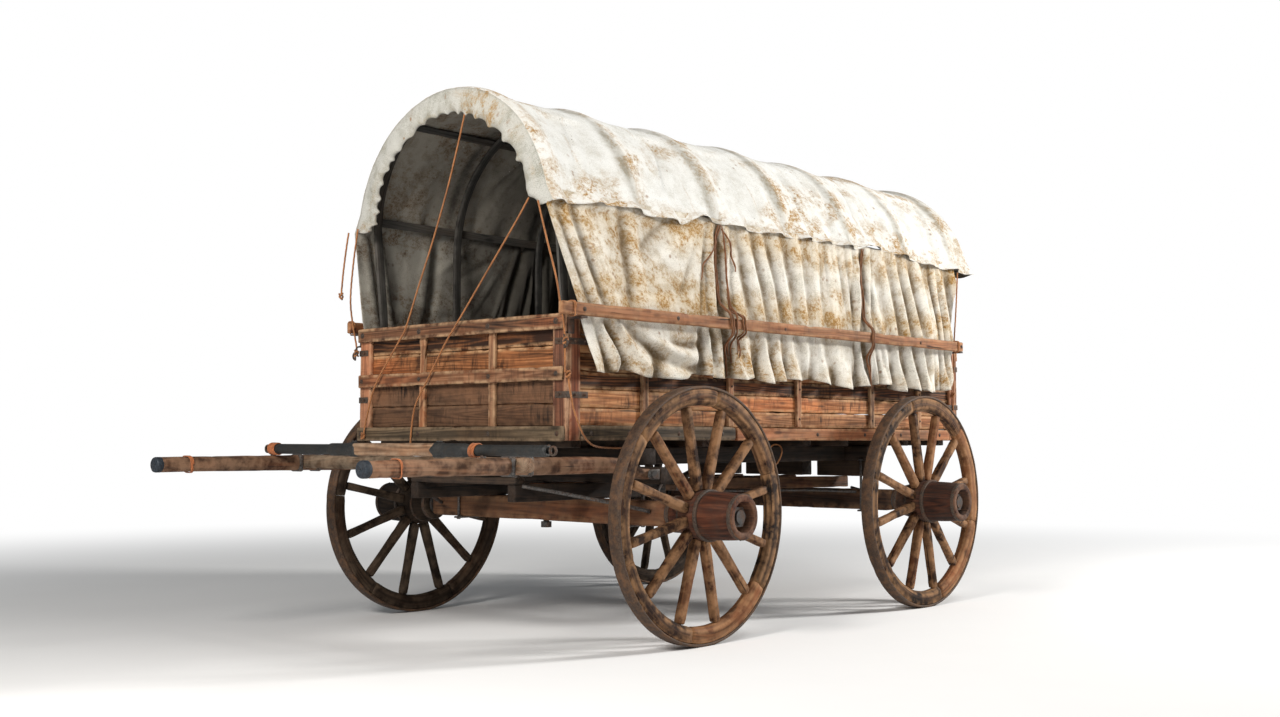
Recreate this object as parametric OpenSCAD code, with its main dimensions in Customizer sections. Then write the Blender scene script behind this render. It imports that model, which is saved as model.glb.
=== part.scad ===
// Covered wagon: a boarded box on two wooden axles, seven bent bows under a canvas cover,
// a fore-carriage that turns on a king bolt, and a pair of draught shafts.
// Millimetres. +X is the way the wagon travels, +Y its left side, +Z up.
// The origin is on the ground, at the centre of the whole wagon's footprint.

/* [Wheels] */
// Radius of a wheel over its iron tyre
wheel_r = 560; // [500:5:580]
// Width of the iron tyre
tyre_w = 64; // [50:1:80]
// Depth of the wooden rim below the tyre
felloe_d = 84; // [60:1:100]
// Number of spokes in each wheel
spoke_n = 12; // [8:1:14]
// Distance from the centre plane of the wagon to a wheel's centre plane
half_track = 945; // [900:5:1000]
// Radius of the axle arm that carries a wheel
arm_r = 30; // [22:1:34]

/* [Box] */
// Half the width of the box over its side boards
box_hw = 674; // [620:2:690]
// Height of the lower edge of the box above the ground
box_z0 = 882; // [882:1:884]
// Height of the upper edge of the box above the ground
box_z1 = 1412; // [1380:2:1430]
// Thickness of every board of the box
board_t = 25; // [18:1:28]
// Number of boards in a side, above the bottom rail
board_n = 6; // [3:1:8]

/* [Cover] */
// Radius of the round part of the canvas roof, outside
roof_r = 650; // [645:1:652]
// Height of the centre of the round part above the ground
roof_zc = 1825; // [1780:5:1850]
// Height of the hem of the side curtains
hem_z = 1172; // [1160:2:1250]

/* [Draught shafts] */
// Distance from the centre plane to the middle of a shaft
shaft_y = 707; // [690:1:715]
// Radius of the ferrule on the tip of a shaft
tip_r = 33; // [25:1:38]
// Half the length of the loose evener bar
evener_hl = 940; // [800:10:945]

/* [Hidden] */

$fn = 48;
e = 0.5;                     // what a cutting tool stands past a face

front_x = 670;               // front axle
rear_x = -1218;              // rear axle
axle_z = wheel_r;
box_x1 = 1227;               // front face of the front boards
box_x0 = -2041;              // rear face of the tail boards
roof_x1 = 1319;              // front edge of the canvas roof
roof_x0 = -2312;             // rear edge of the canvas roof
tip_x = 2312;                // tips of the shafts
stake_t = 20;                // stakes and posts stand this far off the boards
rail_t = 20;                 // rails of the end frames, outside the posts
rail_h = 62;                 // bottom rail
bow_t = 20; bow_w = 44;
lath_t = 14; lath_w = 40;
bow_or = roof_r - 12 - 4 - lath_t;   // outer radius of a bow
arm_in = 794;                // inner end of the axle arm
hub_in = 801; hub_out = 1184;

// columns: name, x, side
WHEELS = [["front_left", front_x, 1], ["front_right", front_x, -1],
          ["rear_left", rear_x, 1], ["rear_right", rear_x, -1]];
// columns: x of the foot, x of the crown
BOWS = [[1125, 1272], [710, 710], [130, 130], [-455, -455], [-1040, -1040], [-1620, -1620], [-1870, -2262]];
// middle of each side stake
STAKE_X = [742, 122, -441, -1130, -1630];
// middle of each cross sill
SILL_X = [1130, front_x, 250, -170, -590, -940, rear_x, -1560, -1960];

module both() { children(); mirror([0, 1, 0]) children(); }
module side(s) { if (s > 0) children(); else mirror([0, 1, 0]) children(); }
// a block from its low corner to its high corner
module block(a, b) { translate(a) cube([b[0] - a[0], b[1] - a[1], b[2] - a[2]]); }
// a round bar from p to q
module bar(p, q, r, r2 = -1) {
  d = q - p; l = norm(d);
  translate(p) rotate([0, acos(d[2] / l), atan2(d[1], d[0])]) cylinder(r1 = r, r2 = r2 < 0 ? r : r2, h = l);
}
// a pipe or pin along Y
module ycyl(x, z, y0, y1, r) { translate([x, y0, z]) rotate([-90, 0, 0]) cylinder(r = r, h = y1 - y0); }

// ---------------------------------------------------------------- wheels
module wheel_at(w) {
  translate([w[1], w[2] * half_track, axle_z]) rotate([w[2] > 0 ? -90 : 90, 0, 0]) children();
}
module tyre() color([0.33, 0.24, 0.18])
  rotate_extrude($fn = 96) translate([wheel_r - 12, -tyre_w / 2]) square([12, tyre_w]);
module rim() color([0.42, 0.28, 0.17]) {
  ro = wheel_r - 12; ri = ro - felloe_d + 12; h = tyre_w / 2 - 3;
  rotate_extrude($fn = 96) polygon([[ro, -h], [ro, h], [ri + 16, h], [ri, h - 14], [ri, -h + 14], [ri + 16, -h]]);
}
module spokes() color([0.45, 0.31, 0.19]) {
  ri = wheel_r - felloe_d;
  intersection() {
    difference() {
      for (i = [0 : spoke_n - 1]) rotate([0, 0, (i + 0.4) * 360 / spoke_n])
        translate([96, 0, 0]) rotate([0, 90, 0]) cylinder(r1 = 24, r2 = 18, h = ri - 90);
      translate([0, 0, -60]) cylinder(r = 108.3, h = 120, $fn = 96);
    }
    translate([0, 0, -60]) cylinder(r = ri - 0.3, h = 120, $fn = 96);
  }
}
// z = 0 is the spokes' plane and +z points away from the wagon
module hub() color([0.36, 0.19, 0.12]) {
  zi = hub_in - half_track; zo = hub_out - half_track;
  rotate_extrude($fn = 96) polygon([
    [arm_r + 0.5, zi], [76, zi], [80, zi + 40], [96, -44], [108, -38], [108, 38], [116, 40], [116, 62], [102, 64],
    [104, 110], [101, zo - 40], [98, zo - 26], [98, zo - 4], [94, zo], [66, zo], [66, zo - 58], [arm_r + 0.5, zo - 58]]);
}

// ---------------------------------------------------------------- axles
module arms(x) color([0.24, 0.23, 0.22]) both() {
  ycyl(x, axle_z, arm_in - 14, arm_in, 52);
  ycyl(x, axle_z, arm_in - 1, hub_out - 20, arm_r);
  translate([x, hub_out - 54, axle_z]) rotate([-90, 0, 0]) cylinder(r = 48, h = 26, $fn = 6);
}
module axle_beam(x, bolt) color([0.40, 0.26, 0.15]) difference() {
  block([x - 50, -arm_in + 14, axle_z - 55], [x + 50, arm_in - 14, axle_z + 55]);
  for (s = [-1, 1]) for (t = [-1, 1]) translate([x + s * 50, t * (arm_in - 14), axle_z]) rotate([0, 0, 45]) cube([26, 26, 160], center = true);
  if (bolt) translate([x, 0, axle_z - 60]) cylinder(r = 15, h = 120);
}

// ---------------------------------------------------------------- fore-carriage
module sand_board() color([0.33, 0.22, 0.14]) difference() {
  union() {
    block([front_x - 55, -764, 690], [front_x + 55, 764, 765]);
    // ears that hold the shaft pins
    for (s = [-1, 1]) for (k = [-1, 1]) translate([front_x + 55, s * shaft_y + k * 46 - 8, 712]) {
      cube([42, 16, 46]);
      translate([42, 0, 23]) rotate([-90, 0, 0]) cylinder(r = 23, h = 16);
    }
  }
  translate([front_x, 0, 680]) cylinder(r = 15, h = 100);
  for (s = [-1, 1]) ycyl(front_x + 97, 735, s * shaft_y - 70, s * shaft_y + 70, 11.3);
}
module shaft_pins() color([0.2, 0.19, 0.18]) both() {
  ycyl(front_x + 97, 735, shaft_y - 62, shaft_y + 62, 11);
  ycyl(front_x + 97, 735, shaft_y - 62, shaft_y - 55, 18);
  ycyl(front_x + 97, 735, shaft_y + 55, shaft_y + 62, 18);
}
module front_hounds() color([0.30, 0.20, 0.13]) both()
  block([front_x - 470, 300, 615], [front_x + 540, 352, 690]);
module hound_bars() color([0.30, 0.20, 0.13]) {
  block([front_x - 470, -370, 690], [front_x - 410, 370, 722]);
  block([front_x + 480, -352, 690], [front_x + 540, 352, 722]);
}

// ---------------------------------------------------------------- shafts
module shaft() color([0.45, 0.31, 0.20]) difference() {
  union() {
    block([front_x + 97, shaft_y - 35, 713], [front_x + 250, shaft_y + 35, 757]);
    translate([front_x + 97, shaft_y - 35, 735]) rotate([-90, 0, 0]) cylinder(r = 26, h = 70);
    translate([0, shaft_y + 35, 0]) rotate([90, 0, 0]) linear_extrude(height = 70)
      polygon([[front_x + 120, 713], [front_x + 230, 740], [front_x + 700, 742], [tip_x - 180, 748], [tip_x - 180, 812],
               [front_x + 700, 818], [front_x + 260, 812], [front_x + 150, 757], [front_x + 120, 757]]);
    bar([tip_x - 181, shaft_y, 780], [tip_x - 70, shaft_y, 780], 31);
    bar([tip_x - 71, shaft_y, 780], [tip_x, shaft_y, 780], tip_r);
  }
  ycyl(front_x + 97, 735, shaft_y - 60, shaft_y + 60, 11.5);
  // seat of the splinter bar
  block([front_x + 829, shaft_y - 50, 753], [front_x + 911, shaft_y + 50, 830]);
}
module splinter_bar() color([0.50, 0.42, 0.32]) {
  block([front_x + 831, -770, 755], [front_x + 909, 770, 815]);
}
// wood in the middle, dark sleeves to both sides, an iron eye for the traces at each end
// it has slid to the left, as it does when the shafts are let down
module evener_bar() color([0.20, 0.20, 0.20]) translate([0, 170, 0]) difference() {
  union() {
    ycyl(front_x + 1050, 845, -evener_hl + 60, evener_hl - 60, 22);
    block([front_x + 1022, -240, 820], [front_x + 1078, 240, 872]);
    for (s = [-1, 1]) {
      ycyl(front_x + 1050, 845, s > 0 ? 300 : -440, s > 0 ? 440 : -300, 27);
      block([front_x + 1043, s > 0 ? evener_hl - 70 : -evener_hl + 20, 827], [front_x + 1057, s > 0 ? evener_hl - 20 : -evener_hl + 70, 863]);
      translate([front_x + 1043, s * (evener_hl - 20), 845]) rotate([0, 90, 0]) cylinder(r = 20, h = 14);
    }
  }
  for (s = [-1, 1]) translate([front_x + 1040, s * (evener_hl - 20), 845]) rotate([0, 90, 0]) cylinder(r = 11, h = 20);
}

// ---------------------------------------------------------------- undercarriage that stays with the box
module front_bolster() color([0.30, 0.20, 0.13]) difference() {
  block([front_x - 60, -640, 772], [front_x + 60, 640, 852]);
  translate([front_x, 0, 760]) cylinder(r = 14.3, h = 100);
}
module king_bolt() color([0.2, 0.2, 0.2]) {
  translate([front_x, 0, 470]) cylinder(r = 14, h = 381);
  translate([front_x, 0, 470]) cylinder(r = 26, h = 28, $fn = 6);
  // wear plate between bolster and sand board
  difference() { translate([front_x, 0, 767]) cylinder(r = 120, h = 4.7); translate([front_x, 0, 760]) cylinder(r = 14, h = 20); }
}
module reach() color([0.36, 0.24, 0.15]) difference() {
  block([rear_x - 130, -38, 622], [front_x + 80, 38, 682]);
  translate([front_x, 0, 600]) cylinder(r = 14.3, h = 100);
}
module rear_hounds() color([0.30, 0.20, 0.13]) {
  both() linear_extrude(height = 60, convexity = 4) translate([0, 0])
    polygon([[rear_x - 120, 400], [rear_x + 60, 400], [rear_x + 760, 39], [rear_x + 640, 39], [rear_x + 20, 340], [rear_x - 120, 340]]);
}
module rear_bolster() color([0.30, 0.20, 0.13]) {
  block([rear_x - 60, -640, 772], [rear_x + 60, 640, 852]);
  both() block([rear_x - 50, 300, 687], [rear_x + 50, 640, 772]);
  block([rear_x - 50, -200, 687], [rear_x + 50, 200, 772]);
}
module side_bearers() color([0.26, 0.18, 0.12]) both()
  block([rear_x + 61, 440, 772], [front_x - 61, 500, 852]);

// ---------------------------------------------------------------- box
module floor_boards() color([0.38, 0.27, 0.17]) {
  w = 2 * (box_hw - board_t - 1) / 9;
  difference() {
    block([box_x0 + board_t + 1, -box_hw + board_t + 1, 900], [box_x1 - board_t - 1, box_hw - board_t - 1, 925]);
    for (i = [1 : 8]) block([box_x0, -box_hw + board_t + 1 + i * w - 1.5, 919], [box_x1, -box_hw + board_t + 1 + i * w + 1.5, 930]);
  }
}
module cross_sills() color([0.30, 0.21, 0.14])
  for (x = SILL_X) block([x - 32, -640, 852], [x + 32, 640, 900]);
// boards with a shadow gap between them
module side_boards(s) color([0.48, 0.30, 0.17]) side(s) {
  h = (box_z1 - box_z0 - rail_h) / board_n;
  difference() {
    block([box_x0, box_hw - board_t, box_z0], [box_x1, box_hw, box_z1]);
    for (i = [0 : board_n - 1]) block([box_x0 - 1, box_hw - 6, box_z0 + rail_h + i * h - 2], [box_x1 + 1, box_hw + 1, box_z0 + rail_h + i * h + 2]);
  }
}
module end_boards(x0, x1, xf) color([0.48, 0.30, 0.17]) {
  h = (box_z1 - box_z0 - rail_h) / board_n;
  difference() {
    block([x0, -box_hw + board_t + 1, box_z0], [x1, box_hw - board_t - 1, box_z1]);
    for (i = [0 : board_n - 1]) block([xf - 6, -box_hw, box_z0 + rail_h + i * h - 2], [xf + 6, box_hw, box_z0 + rail_h + i * h + 2]);
  }
}
module side_stakes(s) color([0.42, 0.26, 0.16]) side(s)
  for (x = STAKE_X) block([x - 20, box_hw, box_z0 + rail_h + 1], [x + 20, box_hw + stake_t, box_z1 - 4]);
module bottom_rail(s) color([0.44, 0.29, 0.18]) side(s) {
  // two lengths that meet in a rounded end, behind the front wheel
  difference() {
    union() {
      block([90 + 33, box_hw, box_z0], [box_x1 - 68, box_hw + 25, box_z0 + rail_h]);
      translate([90 + 33, box_hw, box_z0 + rail_h / 2]) rotate([-90, 0, 0]) cylinder(r = rail_h / 2, h = 25);
    }
  }
  block([box_x0 + 68, box_hw, box_z0], [78, box_hw + 20, box_z0 + rail_h - 6]);
}
// an end frame, drawn for the front and turned round for the tail: rails over two inner stiles
module end_frame() color([0.46, 0.29, 0.17]) {
  for (s = [-1, 1]) block([0, s * 235 - 20, box_z0], [stake_t, s * 235 + 20, box_z1]);
  // columns: low z, high z, half length
  for (r = [[box_z0 - 2, box_z0 + rail_h, 690], [1133, 1194, 684], [1350, box_z1 + 4, 690]])
    block([stake_t, -r[2], r[0]], [stake_t + rail_t, r[2], r[1]]);
}
module corner_posts() color([0.46, 0.24, 0.15])
  for (m = [0, 1]) translate([m ? box_x0 : box_x1, 0, 0]) mirror([m, 0, 0]) both() {
    block([0.2, box_hw - 60, box_z0], [stake_t, box_hw + stake_t, box_z1 + 6]);
    block([-66, box_hw + 0.2, box_z0], [0.3, box_hw + stake_t, box_z1 + 6]);
  }
// the right rail's front end is cut short
module curtain_rails() color([0.45, 0.27, 0.16]) {
  block([-1990, 750, 1400], [front_x + 685, 780, 1456]);
  block([-1990, -780, 1400], [front_x + 595, -750, 1456]);
}
module rail_brackets() color([0.25, 0.22, 0.20]) both()
  for (x = [box_x1 - 2, -1968]) {
    block([x - 18, box_hw + stake_t + 0.2, 1330], [x + 18, box_hw + stake_t + 8, 1399.5]);
    block([x - 18, box_hw + stake_t + 0.2, 1391.5], [x + 18, 778, 1399.5]);
  }

// ---------------------------------------------------------------- cover
// a bow in its own upright plane: straight legs into the box and a half round top
module bow_shape() {
  translate([0, 0, roof_zc]) rotate([90, 0, 90]) rotate_extrude(angle = 180, $fn = 96)
    translate([bow_or - bow_t, -bow_w / 2]) square([bow_t, bow_w]);
  both() block([-bow_w / 2, bow_or - bow_t, 990], [bow_w / 2, bow_or, roof_zc]);
}
module bows() color([0.17, 0.17, 0.17])
  for (b = BOWS) {
    a = atan2(b[1] - b[0], roof_zc + bow_or - 990);
    translate([b[0], 0, 990]) rotate([0, a, 0]) translate([0, 0, -990]) bow_shape();
  }
module purlins() color([0.15, 0.15, 0.15])
  for (a = [10, 58, 122, 170]) translate([0, 0, roof_zc]) rotate([a, 0, 0])
    translate([roof_x0 + 60, bow_or + 0.4, -lath_w / 2]) cube([roof_x1 - roof_x0 - 110, lath_t - 1, lath_w]);
// half round skin with a flap that hangs past the upper edge of the curtain
module roof_profile(r) polygon(concat(
  [[r + 26, 1880 - roof_zc]], [for (i = [0 : 30]) (r) * [cos(12 + i * 5.2), sin(12 + i * 5.2)]], [[-r - 26, 1880 - roof_zc]],
  [[-r - 14, 1880 - roof_zc]], [for (i = [30 : -1 : 0]) (r - 12) * [cos(12 + i * 5.2), sin(12 + i * 5.2)]], [[r + 14, 1880 - roof_zc]]));
// the gathered lip that turns inwards round an end of the roof
module roof_lip(r) polygon(concat([for (i = [0 : 30]) (r - 6) * [cos(12 + i * 5.2), sin(12 + i * 5.2)]],
  [for (i = [30 : -1 : 0]) (r - 115) * [cos(12 + i * 5.2), sin(12 + i * 5.2)]]));
module canvas_roof() color([0.86, 0.82, 0.72]) translate([0, 0, roof_zc]) rotate([90, 0, 90]) {
  translate([0, 0, roof_x0]) linear_extrude(height = roof_x1 - roof_x0) roof_profile(roof_r);
  for (x = [roof_x0, roof_x1 - 18]) translate([0, 0, x]) linear_extrude(height = 18) roof_lip(roof_r);
}
module curtain(s) color([0.83, 0.78, 0.66]) side(s) difference() {
  translate([-2200, 0, 0]) rotate([90, 0, 90]) linear_extrude(height = 3500)
    polygon([[630, 1906], [643, 1906], [692, 1620], [744, 1462], [744, hem_z], [702, hem_z], [702, 1470], [664, 1650]]);
  // slanted front and rear edges
  translate([1345, 600, 1945]) rotate([0, 15.1, 0]) translate([0, 0, -900]) cube([900, 300, 1100]);
  mirror([1, 0, 0]) translate([2150, 600, 1945]) rotate([0, 21, 0]) translate([0, 0, -1000]) cube([900, 300, 1200]);
}

// ---------------------------------------------------------------- ropes
rope_r = 4.5;
// points of each rope's route, from its upper end
STAYS = [
  [[1305, 116, 2340], [1301, 58, 2180], [1298, -10, 2005], [1294, -109, 1788], [1290, -208, 1594], [1288, -301, 1406],
   [1286, -360, 1335], [1284, -523, 1149], [1281, -590, 1003], [1278, -625, 899]],
  [[1303, 525, 1914], [1301, 438, 1813], [1297, 246, 1605], [1291, 77, 1426], [1288, -12, 1333], [1286, -72, 1259],
   [1284, -160, 1144], [1281, -238, 1041], [1278, -268, 931], [1277, -278, 822]]];
LASHINGS = [
  [[1333, 610, 1888], [1324, 655, 1720], [1308, 694, 1560], [1290, 701, 1450], [1266, 701, 1343], [1261, 701, 1165]],
  [[1333, -610, 1888], [1324, -655, 1720], [1308, -694, 1560], [1290, -701, 1450], [1266, -701, 1343], [1261, -701, 1290]],
  [[-2095, 690, 1882], [-2055, 699, 1660], [-2016, 704, 1440], [-2004, 702, 1170], [-1992, 701, 905]],
  [[-2095, -690, 1882], [-2055, -699, 1660], [-2016, -704, 1440], [-2004, -702, 1170], [-1992, -701, 905]]];
// from the lashing at the left front post, down past the side and under the box to the bolster
SLACK = [[1243, 702, 1150], [1241, 707, 1110], [1234, 712, 1060], [1222, 715, 1010], [1202, 719, 960], [1174, 717, 916], [1138, 711, 884],
         [1096, 699, 866], [1046, 681, 857], [990, 664, 853], [930, 652, 851], [870, 649, 850], [810, 648, 850], [755, 646, 848]];
// loose tail that hangs from the right front eave
TAIL = [[1326, -690, 1878], [1328, -697, 1840], [1330, -705, 1790], [1332, -713, 1735], [1334, -720, 1680], [1335, -726, 1625], [1336, -731, 1575]];
function unit(v) = v / norm(v);
function tangent(P, i) = unit(P[min(i + 1, len(P) - 1)] - P[max(i - 1, 0)]);
module sweep_round(P, r, n) {
  m = len(P);
  pts = [for (i = [0 : m - 1]) let (t = tangent(P, i), u = unit(cross(t, [0.3, 0.9, 0.31])), v = cross(t, u))
           for (k = [0 : n - 1]) P[i] + r * (cos(360 * k / n) * u + sin(360 * k / n) * v)];
  faces = concat([[for (k = [0 : n - 1]) k]],
    [for (i = [0 : m - 2]) for (k = [0 : n - 1]) [i * n + k, (i + 1) * n + k, (i + 1) * n + (k + 1) % n, i * n + (k + 1) % n]],
    [[for (k = [n - 1 : -1 : 0]) (m - 1) * n + k]]);
  polyhedron(points = pts, faces = faces);
}
module front_stays() color([0.62, 0.34, 0.18]) for (p = STAYS) sweep_round(p, rope_r, 10);
module corner_lashings() color([0.62, 0.34, 0.18]) for (p = LASHINGS) sweep_round(p, rope_r, 10);
module left_slack_rope() color([0.62, 0.34, 0.18]) sweep_round(SLACK, rope_r, 8);
module right_rope_tail() color([0.62, 0.34, 0.18]) sweep_round(TAIL, rope_r, 8);

floor_boards();
cross_sills();
side_bearers();
side_boards(1);  // left_side_boards
side_boards(-1);  // right_side_boards
side_stakes(1);  // left_side_stakes
side_stakes(-1);  // right_side_stakes
bottom_rail(1);  // left_bottom_rail
bottom_rail(-1);  // right_bottom_rail
end_boards(box_x1 - board_t, box_x1, box_x1);  // front_boards
end_boards(box_x0, box_x0 + board_t, box_x0);  // tail_boards
translate([box_x1 + 0.2, 0, 0]) end_frame();  // front_frame
translate([box_x0 - 0.2, 0, 0]) mirror([1, 0, 0]) end_frame();  // tail_frame
corner_posts();
curtain_rails();
rail_brackets();
bows();
purlins();
canvas_roof();
curtain(1);  // left_curtain
curtain(-1);  // right_curtain
front_bolster();
rear_bolster();
reach();
translate([0, 0, 622]) rear_hounds();
axle_beam(rear_x, false);  // rear_axle_beam
arms(rear_x);  // rear_axle_arms
king_bolt();
front_stays();
corner_lashings();
left_slack_rope();
right_rope_tail();
axle_beam(front_x, true);  // front_axle_beam
arms(front_x);  // front_axle_arms
front_hounds();
hound_bars();
sand_board();
shaft_pins();
shaft();  // left_shaft
mirror([0, 1, 0]) shaft();  // right_shaft
splinter_bar();
evener_bar();
for (w = WHEELS) {
  wheel_at(w) tyre();
  wheel_at(w) rim();
  wheel_at(w) spokes();
  wheel_at(w) hub();
}
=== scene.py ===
import math

import bmesh
import bpy
import numpy as np
from mathutils import Matrix, Vector


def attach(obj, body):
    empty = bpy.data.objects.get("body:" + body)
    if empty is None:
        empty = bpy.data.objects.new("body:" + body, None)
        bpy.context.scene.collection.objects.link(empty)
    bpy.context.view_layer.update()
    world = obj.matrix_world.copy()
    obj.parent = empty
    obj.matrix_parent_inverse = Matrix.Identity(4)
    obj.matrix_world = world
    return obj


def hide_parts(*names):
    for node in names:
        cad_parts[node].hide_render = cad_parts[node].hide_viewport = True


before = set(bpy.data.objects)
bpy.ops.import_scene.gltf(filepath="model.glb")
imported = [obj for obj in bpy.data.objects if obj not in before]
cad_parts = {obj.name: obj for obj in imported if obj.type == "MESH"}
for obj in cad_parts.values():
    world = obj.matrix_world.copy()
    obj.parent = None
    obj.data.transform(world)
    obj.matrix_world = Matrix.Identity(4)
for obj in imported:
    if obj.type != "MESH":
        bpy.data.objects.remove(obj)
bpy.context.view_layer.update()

PI = math.pi
sc = bpy.context.scene

# ------------------------------------------------------------------ camera
cam_data = bpy.data.cameras.new("camera")
cam = bpy.data.objects.new("camera", cam_data)
sc.collection.objects.link(cam)
sc.camera = cam
cam_data.lens, cam_data.sensor_width = 39.54, 36.0
cam_data.clip_start, cam_data.clip_end = 0.05, 200
yaw, pitch = math.radians(-138.644), math.radians(3.289)
look = Vector((math.cos(yaw) * math.cos(pitch), math.sin(yaw) * math.cos(pitch), math.sin(pitch)))
cam.location = (5.4354, 4.7904, 0.8883)
cam.rotation_mode = "QUATERNION"
cam.rotation_quaternion = look.to_track_quat("-Z", "Y")

# ------------------------------------------------------------------ numbers shared by the pieces
FX, RX, AZ, TRACK, WR = 0.670, -1.218, 0.560, 0.945, 0.560
BX1, BX0, HW, BZ0, BZ1 = 1.227, -2.041, 0.674, 0.882, 1.412
RX1, RX0, RR, RZ = 1.319, -2.312, 0.650, 1.825
WHEELS = {"front_left": (FX, 1), "front_right": (FX, -1), "rear_left": (RX, 1), "rear_right": (RX, -1)}
# foot and crown of each bow
BOWS = [(1.125, 1.272), (0.710, 0.710), (0.130, 0.130), (-0.455, -0.455), (-1.040, -1.040), (-1.620, -1.620), (-1.870, -2.262)]

# ------------------------------------------------------------------ noise
_lat = np.random.RandomState(11).rand(32, 32, 32) * 2 - 1


def vn(p):
    p = np.asarray(p, float)
    i = np.floor(p).astype(int)
    f = p - i
    f = f * f * (3 - 2 * f)
    a, b = i & 31, (i + 1) & 31
    x, y, z = f[..., 0], f[..., 1], f[..., 2]
    g = lambda u, v, w: _lat[u[..., 0], v[..., 1], w[..., 2]]
    c00 = g(a, a, a) * (1 - x) + g(b, a, a) * x
    c10 = g(a, b, a) * (1 - x) + g(b, b, a) * x
    c01 = g(a, a, b) * (1 - x) + g(b, a, b) * x
    c11 = g(a, b, b) * (1 - x) + g(b, b, b) * x
    return (c00 * (1 - y) + c10 * y) * (1 - z) + (c01 * (1 - y) + c11 * y) * z


def fbm(p, octaves=3):
    p = np.asarray(p, float)
    s, a, t = 0.0, 1.0, 0.0
    for k in range(octaves):
        s = s + a * vn(p * 2.03**k + 7.3 * k)
        t += a
        a *= 0.5
    return s / t


def smooth(a, b, x):
    t = np.clip((np.asarray(x, float) - a) / (b - a), 0, 1)
    return t * t * (3 - 2 * t)


_seed = [0]


def rng():
    _seed[0] += 1
    return np.random.RandomState(1000 + _seed[0])


# ------------------------------------------------------------------ mesh gathering
class Bag:
    """Gathers closed shells and their attributes, and makes one object of them."""

    def __init__(s):
        s.V, s.F, s.G, s.R, s.E, s.M, s.n = [], [], [], [], [], [], 0

    def add(s, V, F, G=None, rnd=0.5, E=None, mat=0):
        V = np.asarray(V, float).reshape(-1, 3)
        s.V.append(V)
        s.F += [tuple(i + s.n for i in f) for f in F]
        s.M += [mat] * len(F)
        s.G.append(V if G is None else np.asarray(G, float).reshape(-1, 3))
        s.R.append(np.full(len(V), float(rnd)))
        s.E.append(np.zeros(len(V)) if E is None else np.asarray(E, float).reshape(-1))
        s.n += len(V)

    def moved(s, fn):
        t = Bag()
        t.V, t.F, t.G, t.R, t.E, t.M, t.n = [fn(v) for v in s.V], s.F, s.G, s.R, s.E, s.M, s.n
        return t

    def make(s, name, mats, body, replaces=(), smooth_faces=True, sharp=None, recalc=True):
        me = bpy.data.meshes.new(name)
        V = np.concatenate(s.V)
        me.from_pydata(V.tolist(), [], s.F)
        for k, (nm, data, typ) in enumerate([("gc", np.concatenate(s.G), "FLOAT_VECTOR"), ("rnd", np.concatenate(s.R), "FLOAT"), ("edge", np.concatenate(s.E), "FLOAT")]):
            at = me.attributes.new(nm, typ, "POINT")
            at.data.foreach_set("vector" if k == 0 else "value", data.astype(np.float32).ravel())
        mats = mats if isinstance(mats, (list, tuple)) else [mats]
        for m in mats:
            me.materials.append(m)
        if len(mats) > 1:
            me.polygons.foreach_set("material_index", np.array(s.M, dtype=np.int32))
        if recalc:
            bm = bmesh.new()
            bm.from_mesh(me)
            bmesh.ops.recalc_face_normals(bm, faces=bm.faces)
            bm.to_mesh(me)
            bm.free()
        me.polygons.foreach_set("use_smooth", [smooth_faces] * len(me.polygons))
        if sharp:
            me.set_sharp_from_angle(angle=math.radians(sharp))
        ob = bpy.data.objects.new(name, me)
        sc.collection.objects.link(ob)
        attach(ob, body)
        if replaces:
            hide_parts(*replaces)
        return ob


def loft_faces(k, m, cap=True, closed=False):
    F = []
    for i in range(k if closed else k - 1):
        a, b = i * m, ((i + 1) % k) * m
        for j in range(m):
            j2 = (j + 1) % m
            F.append((a + j, a + j2, b + j2, b + j))
    if cap and not closed:
        F.append(tuple(range(m - 1, -1, -1)))
        F.append(tuple((k - 1) * m + j for j in range(m)))
    return F


def section(W, H, e, side):
    """Ring of a rounded rectangle: points, outward normals, nearness to a corner."""
    e = min(e, W / 2 - 1e-5, H / 2 - 1e-5)
    pts, nor, ed = [], [], []
    cs = [(W / 2 - e, H / 2 - e, 0), (-W / 2 + e, H / 2 - e, 90), (-W / 2 + e, -H / 2 + e, 180), (W / 2 - e, -H / 2 + e, 270)]
    steps = 2 if e < 0.012 else 4
    for c in range(4):
        x, y, a0 = cs[c]
        for q in range(steps + 1):
            a = math.radians(a0 + 90 * q / steps)
            pts.append((x + e * math.cos(a), y + e * math.sin(a)))
            nor.append((math.cos(a), math.sin(a)))
            ed.append(1.0)
        x2, y2, a2 = cs[(c + 1) % 4]
        a = math.radians(a0 + 90)
        p = np.array([x + e * math.cos(a), y + e * math.sin(a)])
        q = np.array([x2 + e * math.cos(a), y2 + e * math.sin(a)])
        d = np.linalg.norm(q - p)
        n = int(round(d / side))
        for i in range(1, n):
            t = i / n
            pts.append(tuple(p * (1 - t) + q * t))
            nor.append((math.cos(a), math.sin(a)))
            ed.append(max(0.0, 1 - min(t, 1 - t) * d / 0.012))
    return np.array(pts), np.array(nor), np.array(ed)


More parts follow.
